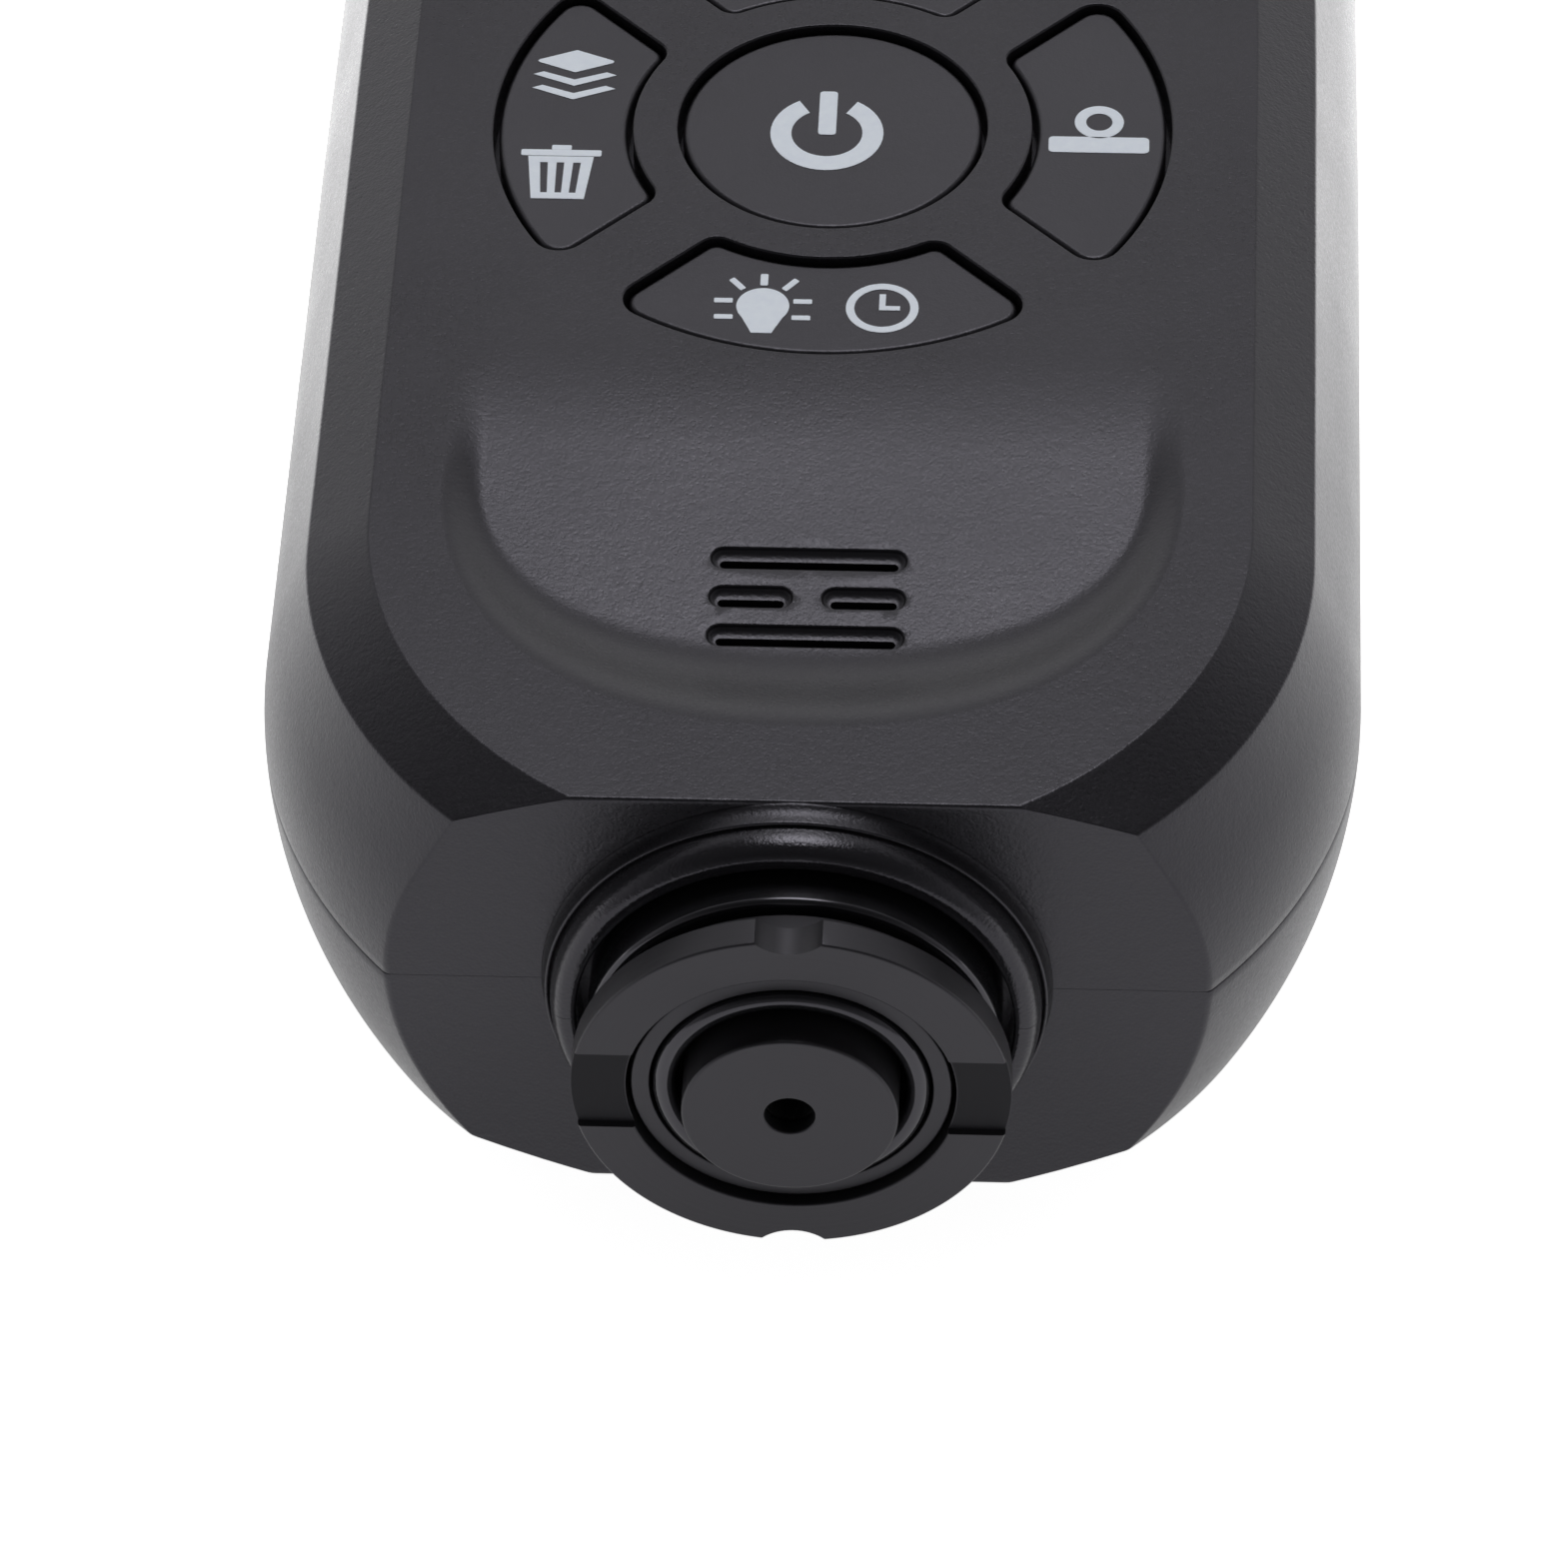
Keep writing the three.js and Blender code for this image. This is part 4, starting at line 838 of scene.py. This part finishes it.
def grown_block(name, low, high, grow, bottom, top):
    return block(name, (low[0] - grow, low[1] - grow, bottom), (high[0] + grow, high[1] + grow, top))


def door_outline(corner):
    """The battery door's outline from the CAD, as outline(grow) with rounded corners."""
    low, high = case_of("battery_door")

    def outline(grow):
        corners = [(high[0] + grow, low[1] - grow), (high[0] + grow, high[1] + grow),
                   (low[0] - grow, high[1] + grow), (low[0] - grow, low[1] - grow)]
        return rounded(corners, corner(grow))
    return outline


def rear_shell():
    shell = half_case("shell_rear", -1, ((-FAR, -FAR, SEAM_Z - SEAM_LINE), (FAR, FAR, FAR)))
    shell = cut(shell, *probe_bores())
    door_low, door_high = case_of("battery_door")
    door_lip = 1.2
    wall = 1.4
    bay_top = case_of("battery_1")[1][2] + 0.3
    bay_low = (door_low[0] + door_lip, door_low[1] + door_lip)
    bay_high = (door_high[0] - door_lip, door_high[1] - door_lip)
    for name, grow, top in (("bay_wall", wall, bay_top + wall), ("ledge", wall + 1.5, BACK_Z + 3.5)):
        shell = combine(shell, grown_block(name, bay_low, bay_high, grow, BACK_Z + 1, top), "UNION")
    for x, y, _ in screw_places():
        pillar = post("pillar", x, y, PILLAR_RADIUS, BACK_Z + 1, SEAM_Z - SEAM_LINE - 0.1)
        shell = combine(shell, pillar, "UNION")
    shell = cut(shell, grown_block("bay", bay_low, bay_high, 0, BACK_Z - 1, bay_top))
    gap = 0.2
    edge = 0.2
    profile = [(gap, BACK_Z + 2.1), (gap, BACK_Z + edge), (gap + edge * 0.3, BACK_Z + edge * 0.3),
               (gap + edge, BACK_Z - 0.003), (gap + edge, BACK_Z - 1)]
    opening = stack(door_outline(lambda grow: 1.0 + grow - gap), profile)
    shell = cut(shell, loft("door_opening", opening))
    for x, y, head in screw_places():
        profile = [(2.9, BACK_Z - 1), (2.9, BACK_Z - 0.003), (2.58, BACK_Z + 0.1), (2.45, BACK_Z + 0.4),
                   (2.4, head + 1.8)]
        rings = [circle(x, y, radius, z) for radius, z in profile]
        shell = cut(shell, post("shank", x, y, SCREW_HOLE_RADIUS, BACK_Z, SEAM_Z + 1), loft("head_hole", rings))
    return finish_piece(shell, "case", "case_black", ["rear_shell"])


# ---- keys and their signs -----------------------------------------------------------------------

def key_cap(name, outline):
    """A cap with a soft edge, the flange that keeps it in, and the stem that presses the dome."""
    profile = [(KEY_FLANGE, FLANGE_BOTTOM), (KEY_FLANGE, FLANGE_TOP), (-KEY_GAP, FLANGE_TOP)]
    profile += [(-KEY_GAP, -1.4), (-KEY_GAP, -0.7)]
    profile += arc(-KEY_GAP - KEY_EDGE, -KEY_SINK - KEY_EDGE, KEY_EDGE, 0, math.pi / 2, 7)
    cap = loft(f"cap_{name}", stack(outline, profile))
    dome_low, dome_high = case_of(f"dome_{name}")
    x, y = ((dome_low[i] + dome_high[i]) / 2 for i in (0, 1))
    bottom = case_of(f"key_{name}")[0][2]
    stem = [circle(x, y, radius, z, 32) for radius, z in (
        (1.2, bottom), (1.35, bottom + 0.15), (1.35, FLANGE_BOTTOM + 0.2))]
    cap = combine(cap, loft("stem", stem), "UNION")
    return finish_piece(cap, f"{name}_button", "key_black", [f"key_{name}"])


def inked(name, body, outlines):
    """Printed signs: each outline is a thin raised film on the key. An outline with a hole is a pair."""
    vertices = []
    faces = []
    film = 0.025

    def film_at(z, points):
        start = len(vertices)
        vertices.extend((x, y, z) for x, y in points)
        return start

    for shape in outlines:
        outer, hole = shape if isinstance(shape, tuple) else (shape, None)
        count = len(outer)
        low = film_at(-KEY_SINK + 0.002, outer)
        high = film_at(-KEY_SINK + film, outer)
        faces += [(low + i, low + (i + 1) % count, high + (i + 1) % count, high + i) for i in range(count)]
        if hole is None:
            faces.append(tuple(range(high, high + count)))
            faces.append(tuple(reversed(range(low, low + count))))
            continue
        hole_low = film_at(-KEY_SINK + 0.002, hole)
        hole_high = film_at(-KEY_SINK + film, hole)
        for i in range(count):
            j = (i + 1) % count
            faces.append((hole_low + j, hole_low + i, hole_high + i, hole_high + j))
            faces.append((high + i, high + j, hole_high + j, hole_high + i))
            faces.append((low + j, low + i, hole_low + i, hole_low + j))
    piece = face_outwards(add_mesh(name, vertices, faces))
    return finish_piece(piece, body, "print", weighted=False)


def ring_sign(x, y, inner, outer):
    return round_outline(x, y, outer), round_outline(x, y, inner)


def arc_sign(x, y, inner, outer, start, end, steps=40):
    """A band between two radii from start to end, in degrees."""
    start, end = math.radians(start), math.radians(end)
    return arc(x, y, outer, start, end, steps) + arc(x, y, inner, end, start, steps)


def bar_sign(x0, y0, x1, y1, width):
    """A straight stroke with round corners from one point to another."""
    along = Vector((x1 - x0, y1 - y0)).normalized() * (width / 2)
    across = Vector((-along.y, along.x))
    start = Vector((x0, y0)) - along
    end = Vector((x1, y1)) + along
    corners = [start - across, end - across, end + across, start + across]
    return rounded([tuple(c) for c in corners], width * 0.2, 3)


def power_sign():
    x, y = -0.3, WHEEL_Y - 0.35
    return [arc_sign(x, y, 1.95, 3.1, 121, 419), bar_sign(x, y + 0.35, x, y + 3.0, 0.98)]


def zero_sign():
    x, y = 14.6, WHEEL_Y
    return [bar_sign(x - 2.1, y - 0.95, x + 2.1, y - 0.95, 1.3), ring_sign(x, y + 0.95, 0.72, 1.35)]


def delete_sign():
    """A bin: lid with a handle, and a tapered body with three slits."""
    x, y = -14.75, 45.9
    signs = [bar_sign(x - 1.95, y + 3.75, x + 1.95, y + 3.75, 0.5),
             bar_sign(x - 0.35, y + 4.2, x + 0.35, y + 4.2, 0.38)]

    def strip(left, right, low, high):
        """One tapered strip of the body, left and right as shares of its half width."""
        half_at = [1.45 + 0.1 * level for level in (low, high)]
        return [(x + left * half_at[0], y + low), (x + right * half_at[0], y + low),
                (x + right * half_at[1], y + high), (x + left * half_at[1], y + high)]

    signs += [strip(-1, 1, -0.05, 0.45), strip(-1, 1, 2.95, 3.45)]
    for left, right in ((-1, -0.64), (-0.4, -0.12), (0.12, 0.4), (0.64, 1)):
        signs.append(strip(left, right, 0.45, 2.95))
    return signs


def layers_sign():
    """A stack of three layers, for sorting kinds of base metal."""
    x, y = -14.4, 56.6
    signs = []
    for level in (0, 1, 2):
        base = y - 1.5 + level * 1.15
        corners = [(x - 2.3, base), (x, base - 0.95), (x + 2.3, base), (x, base + 0.95)]
        if level == 2:
            signs.append(rounded(corners, 0.12, 2))
        else:
            signs.append([(x - 2.3, base), (x, base - 0.95), (x + 2.3, base), (x + 1.75, base + 0.24),
                          (x, base - 0.42), (x - 1.75, base + 0.24)])
    return signs


def light_sign():
    """A lamp bulb with seven rays."""
    x, y = -3.2, 37.45
    bulb = arc(x, y, 1.42, math.radians(-38), math.radians(218), 40)
    bulb += [(x - 0.72, y - 1.75), (x - 0.55, y - 2.15), (x + 0.55, y - 2.15), (x + 0.72, y - 1.75)]
    signs = [bulb, bar_sign(x, y + 1.85, x, y + 2.35, 0.42)]
    for side in (-1, 1):
        signs.append(bar_sign(x + side * 1.8, y + 0.4, x + side * 2.45, y + 0.4, 0.36))
        signs.append(bar_sign(x + side * 1.75, y - 0.9, x + side * 2.4, y - 0.9, 0.36))
        signs.append(bar_sign(x + side * 1.2, y + 1.45, x + side * 1.65, y + 2.0, 0.36))
    return signs


def timer_sign():
    """A plain clock face, for switching off by itself."""
    x, y = 3.2, 37.45
    hand = 0.17
    hands = [(x - hand, y - hand), (x + 0.95, y - hand), (x + 0.95, y + hand), (x + hand, y + hand),
             (x + hand, y + 1.1), (x - hand, y + 1.1)]
    return [ring_sign(x, y, 1.5, 1.95), hands]


def list_sign():
    x, y = 0, WHEEL_Y + 14.6
    return [bar_sign(x - 1.6, y + 1.1 * k, x + 1.6, y + 1.1 * k, 0.42) for k in (-1, 0, 1)]


def keys():
    for name, outline in KEYS.items():
        key_cap(name, outline)
    inked("sign_power", "power_button", power_sign())
    inked("sign_zero", "right_button", zero_sign())
    inked("sign_delete", "left_button", delete_sign() + layers_sign())
    inked("sign_light", "down_button", light_sign() + timer_sign())
    inked("sign_list", "up_button", list_sign())


# ---- display ------------------------------------------------------------------------------------

def display():
    """The pane, and the black border printed on its underside."""
    low, high = case_of("display_window")
    edge = 0.2
    profile = [(-edge, low[2]), (0, low[2] + edge), (0, high[2] - edge), (-edge * 0.3, high[2] - edge * 0.3),
               (-edge, high[2])]
    rings = stack(lambda grow: window_outline(grow, 1.2), profile)
    finish_piece(loft("window_pane", rings), "case", "window_glass", ["display_window"])
    mask_z = low[2] - 0.06
    outer = window_outline(-0.2, 1.0)
    inner = window_outline(-3.2, 1.4)
    count = len(outer)
    vertices = [(x, y, z) for z in (mask_z - 0.1, mask_z) for ring in (outer, inner) for x, y in ring]
    faces = []
    for i in range(count):
        j = (i + 1) % count
        faces.append((2 * count + i, 2 * count + j, 3 * count + j, 3 * count + i))
        faces.append((j, i, count + i, count + j))
        faces.append((i, j, 2 * count + j, 2 * count + i))
        faces.append((count + j, count + i, 3 * count + i, 3 * count + j))
    mask = face_outwards(add_mesh("window_mask", vertices, faces))
    finish_piece(mask, "case", "gloss_black", weighted=False)


# ---- probe --------------------------------------------------------------------------------------

def probe_barrel():
    corners = [(BARREL_BORE, BARREL_FRONT), (BARREL_RADIUS, BARREL_FRONT), (BARREL_RADIUS, BARREL_SHOULDER),
               (SPIGOT_RADIUS, BARREL_SHOULDER), (SPIGOT_RADIUS, SPIGOT_END), (BARREL_BORE, SPIGOT_END)]
    profile = rounded(corners, [0.1, 0.35, 0.05, 0.05, 0.05, 0.05])
    finish_piece(lathe("barrel_ring", profile, 160), "case", "gloss_black", ["probe_barrel"])


def probe_collar():
    """The collar with a round groove above and below, and a shallow notch at each side whose floor is covered by a
    thin dark sheet of painted shade.
    """
    corners = [(COLLAR_BORE, COLLAR_FRONT), (COLLAR_RADIUS, COLLAR_FRONT), (COLLAR_RADIUS, COLLAR_BACK),
               (NECK_RADIUS, COLLAR_BACK), (NECK_RADIUS, NECK_BACK), (COLLAR_BORE, NECK_BACK)]
    ring = lathe("collar_ring", rounded(corners, [0.12, 0.14, 0.12, 0.05, 0.05, 0.05]), 192)
    floor_out = COLLAR_FRONT - NOTCH_DEPTH
    low_z, high_z = SEAM_Z - NOTCH_HALF, SEAM_Z + NOTCH_HALF
    outside = -COLLAR_FRONT - 1
    section = [(outside, low_z), (-COLLAR_FRONT, low_z), (-floor_out, low_z + 0.1), (-floor_out, high_z),
               (outside, high_z)]
    for side in (-1, 1):
        middle = SEAM_Z + side * (COLLAR_RADIUS - GROOVE_DEPTH + GROOVE_RADIUS)
        groove = lathe("groove", [(0, 9), (GROOVE_RADIUS, 9), (GROOVE_RADIUS, 4.9), (0, 4.9)], 64, middle)
        ends = sorted((side * 7.5, side * 12.5))
        ring = cut(ring, groove, loft("notch", [[(x, y, z) for y, z in section] for x in ends]))
    finish_piece(ring, "case", "turned_black", ["probe_collar"], 30)
    # Painted shade: a thin sheet, 0.03 mm proud of each notch floor, carries the darker, less glossy black so that
    # the floor looks shaded.
    low_r, high_r = COLLAR_BORE + 0.05, COLLAR_RADIUS - 0.05
    shade_sheet = [(low_r, floor_out + 0.03), (high_r, floor_out + 0.03), (high_r, floor_out), (low_r, floor_out)]
    for side, name in ((-1, "left"), (1, "right")):
        low_x, high_x = sorted((side * 7, side * 12))
        half = NOTCH_HALF - 0.04
        keep = block("keep", (low_x, -20, SEAM_Z - half), (high_x, 0, SEAM_Z + half))
        floor = combine(lathe(f"notch_shade_sheet_{name}", shade_sheet, 160), keep, "INTERSECT")
        finish_piece(floor, "case", "turned_black", weighted=False)
        # Painted shade: the sheet gets the dark shade material in place of the collar's own plastic.
        floor.data.materials[0] = NOTCH_SHADE


def probe_inside():
    front = COLLAR_FRONT - SLEEVE_RECESS
    corners = [(SLEEVE_BORE, front), (SLEEVE_RADIUS, front), (SLEEVE_RADIUS, SLEEVE_END),
               (SLEEVE_BORE, SLEEVE_END)]
    tube = lathe("sleeve_tube", rounded(corners, [0.08, 0.12, 0.05, 0.05]), 160)
    finish_piece(tube, "case", "turned_black", ["probe_sleeve"])
    bead = (NOSE_RADIUS - NOSE_BORE) / 2
    profile = [(NOSE_RADIUS, NOSE_BACK), (NOSE_BORE, NOSE_BACK)]
    profile += arc(NOSE_BORE + bead, COLLAR_FRONT - NOSE_RECESS - bead, bead, math.pi, 0, 16)
    finish_piece(lathe("bead_ring", profile, 160), "case", "gloss_black", ["nose_ring"])


def plunger():
    corners = [(PLUNGER_HOLE, PLUNGER_FLOOR), (PLUNGER_HOLE, PLUNGER_FRONT), (PLUNGER_RADIUS, PLUNGER_FRONT),
               (PLUNGER_RADIUS, PLUNGER_FLANGE_FRONT), (PLUNGER_FLANGE_RADIUS, PLUNGER_FLANGE_FRONT),
               (PLUNGER_FLANGE_RADIUS, PLUNGER_FLANGE_BACK), (PLUNGER_BORE, PLUNGER_FLANGE_BACK),
               (PLUNGER_BORE, PLUNGER_FLOOR)]
    profile = rounded(corners, [0.02, 0.12, 0.16, 0.05, 0.1, 0.1, 0.05, 0.05])
    finish_piece(lathe("plunger_tip", profile, 144), "plunger", "turned_black", ["probe_plunger"])


def probe_spring():
    """The plunger's spring: a coil of wire between the ends of the CAD spring, attached to no body."""
    low, high = case_of("probe_spring")
    wire = SPRING_WIRE / 2
    radius = (high[0] - low[0]) / 2 - wire
    front, back = low[1] + wire, high[1] - wire
    steps = 240
    rings = []
    for k in range(steps + 1):
        angle = 2 * math.pi * SPRING_TURNS * k / steps
        y = front + (back - front) * k / steps
        section = round_outline(radius, y, wire, 12)
        rings.append([(reach * math.cos(angle), py, SEAM_Z + reach * math.sin(angle)) for reach, py in section])
    spring = finish_piece(loft("spring_wire", rings), None, "steel", ["probe_spring"])
    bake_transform(spring)


# ---- back ---------------------------------------------------------------------------------------

def battery_door():
    """The door plate, a little wider at its outside face, with five grip grooves at its free end."""
    low, high = case_of("battery_door")
    flare = 0.25
    profile = [(flare, low[2]), (flare * 0.3, low[2] + flare * 0.3), (0, low[2] + flare), (0, high[2])]
    door = loft("door_panel", stack(door_outline(lambda grow: 1.0), profile))
    for k in range(5):
        y = high[1] - 5 - 1.6 * k
        half = 6 - 0.5 * abs(k - 2)
        groove = []
        for z, g in ((low[2] - 1, 0.55), (low[2] - 0.003, 0.45), (low[2] + 0.5, 0.36)):
            corners = [(half, y - g), (half, y + g), (-half, y + g), (-half, y - g)]
            groove.append([(px, py, z) for px, py in rounded(corners, 0.3, 3)])
        door = cut(door, loft("grip", groove))
    finish_piece(door, "door", "case_black", ["battery_door"])


def case_screws():
    """Screws with a soft-edged head, a cross slot and a ridged shank."""
    for index, (x, y, head) in enumerate(screw_places(), 1):
        profile = [(SCREW_HEAD_RADIUS - 0.35, 0), (SCREW_HEAD_RADIUS - 0.1, 0.12), (SCREW_HEAD_RADIUS, 0.4),
                   (SCREW_HEAD_RADIUS, SCREW_HEAD), (SCREW_RADIUS, SCREW_HEAD)]
        for k in range(SCREW_TURNS * 2 + 1):
            depth = SCREW_HEAD + 0.6 + (SCREW_LENGTH - 1.4) * k / (SCREW_TURNS * 2)
            profile.append((SCREW_RADIUS if k % 2 else SCREW_ROOT_RADIUS, depth))
        profile.append((0.3, SCREW_HEAD + SCREW_LENGTH - 0.1))
        screw = loft(f"screw_{index}", [circle(x, y, radius, head + depth, 32) for radius, depth in profile])
        for wide, tall in ((1.35, 0.3), (0.3, 1.35)):
            screw = cut(screw, block("cross", (x - wide, y - tall, head - 1), (x + wide, y + tall, head + 0.8)))
        finish_piece(screw, "case", "steel", [f"case_screw_{index}"])


def carried_over():
    """CAD nodes that stay get the detailed material of their slot."""
    slots = {row["node"]: row["material_slot"] for row in frame["record"]["subparts"]}
    for name, node in frame["nodes"].items():
        if node.hide_render:
            continue
        for index in range(len(node.material_slots)):
            node.material_slots[index].material = LOOKS[slots[name]]


# ---- studio -------------------------------------------------------------------------------------

def camera():
    """The photograph's view: from the probe end, 45 degrees above the face."""
    data = bpy.data.cameras.new("camera")
    data.sensor_width = 36
    data.lens = 178.1
    data.clip_start = 0.01
    data.clip_end = 20
    piece = bpy.data.objects.new("camera", data)
    bpy.context.scene.collection.objects.link(piece)
    azimuth, elevation, roll = math.radians(-3.12), math.radians(45.41), math.radians(-1.03)
    distance = 0.3895
    target = place(-0.55, 1.31, 0)
    ahead = Vector((math.sin(azimuth) * math.cos(elevation), math.cos(azimuth) * math.cos(elevation),
                    -math.sin(elevation)))
    right = Vector((math.cos(azimuth), -math.sin(azimuth), 0))
    up = right.cross(ahead)
    rolled_right = right * math.cos(roll) + up * math.sin(roll)
    rolled_up = up * math.cos(roll) - right * math.sin(roll)
    turn = Matrix((rolled_right, rolled_up, -ahead)).transposed().to_4x4()
    piece.matrix_world = Matrix.Translation(target - ahead * distance) @ turn
    bpy.context.scene.camera = piece


def floor():
    """A pale floor that glows with painted light: stronger towards the back, where the large light stands, like a
    pool of light, and a little stronger again for camera rays, so seen directly it is plain white and its shadow
    is painted out.
    """
    material, tree, sockets, _ = new_material("floor_painted_glow", (0.7, 0.7, 0.7), 0.8)
    along = axes_of(tree, tree.nodes.new("ShaderNodeNewGeometry").outputs["Position"])["Y"]
    # Painted light: emission rises from 0.72 to 2.2 towards the back, a painted pool of light that also brightens
    # what the case's sides reflect.
    painted_back_glow = ramp(tree, along, place(0, 25, 0).y, place(0, 110, 0).y, 0.72, 2.2)
    # Painted light: camera rays see 0.22 more emission, which lifts the shadow out of the floor where the camera
    # looks at it.
    direct = tree.nodes.new("ShaderNodeLightPath").outputs["Is Camera Ray"]
    strength = maths(tree, "ADD", painted_back_glow, maths(tree, "MULTIPLY", direct, 0.22))
    tree.links.new(strength, sockets["Emission Strength"])
    sockets["Emission Color"].default_value = (1, 1, 1, 1)
    half = 6
    mesh = bpy.data.meshes.new("floor")
    mesh.from_pydata([(-half, -half, 0), (half, -half, 0), (half, half, 0), (-half, half, 0)], [], [(0, 1, 2, 3)])
    mesh.materials.append(material)
    piece = bpy.data.objects.new("floor", mesh)
    piece.location.z = cad_low[2] - 0.0002
    bpy.context.scene.collection.objects.link(piece)


def studio():
    """A pale room, dim overhead and towards the probe end, with one large soft light high at the back."""
    world = bpy.data.worlds.new("studio")
    world.use_nodes = True
    bpy.context.scene.world = world
    tree = world.node_tree
    background = tree.nodes["Background"]
    where = tree.nodes.new("ShaderNodeTexCoord").outputs["Generated"]
    direction = axes_of(tree, where)
    height, along = direction["Z"], direction["Y"]
    walls = ramp(tree, height, 0.15, 0.75, 0.56, 0.1)
    back = maths(tree, "MULTIPLY", ramp(tree, along, 0.15, 0.75, 0, 1), ramp(tree, height, 0.0, 0.42, 0.15, 0.58))
    front = ramp(tree, along, -0.9, 0.1, 0.45, 1.0)
    lamp_direction = Vector((0.02, 0.37, 0.93)).normalized()
    aim = vector_maths(tree, "DOT_PRODUCT", where, lamp_direction, output="Value")
    lamp = ramp(tree, aim, math.cos(math.radians(17)), math.cos(math.radians(5)), 0, 7.0)
    room = maths(tree, "MULTIPLY", maths(tree, "ADD", walls, back), front)
    tree.links.new(maths(tree, "ADD", room, lamp), background.inputs["Strength"])
    background.inputs["Color"].default_value = (1, 1, 1, 1)
    bpy.context.scene.view_settings.view_transform = "Standard"


camera()
studio()
floor()
front_shell()
rear_shell()
keys()
display()
probe_barrel()
probe_collar()
probe_inside()
plunger()
probe_spring()
battery_door()
case_screws()
carried_over()
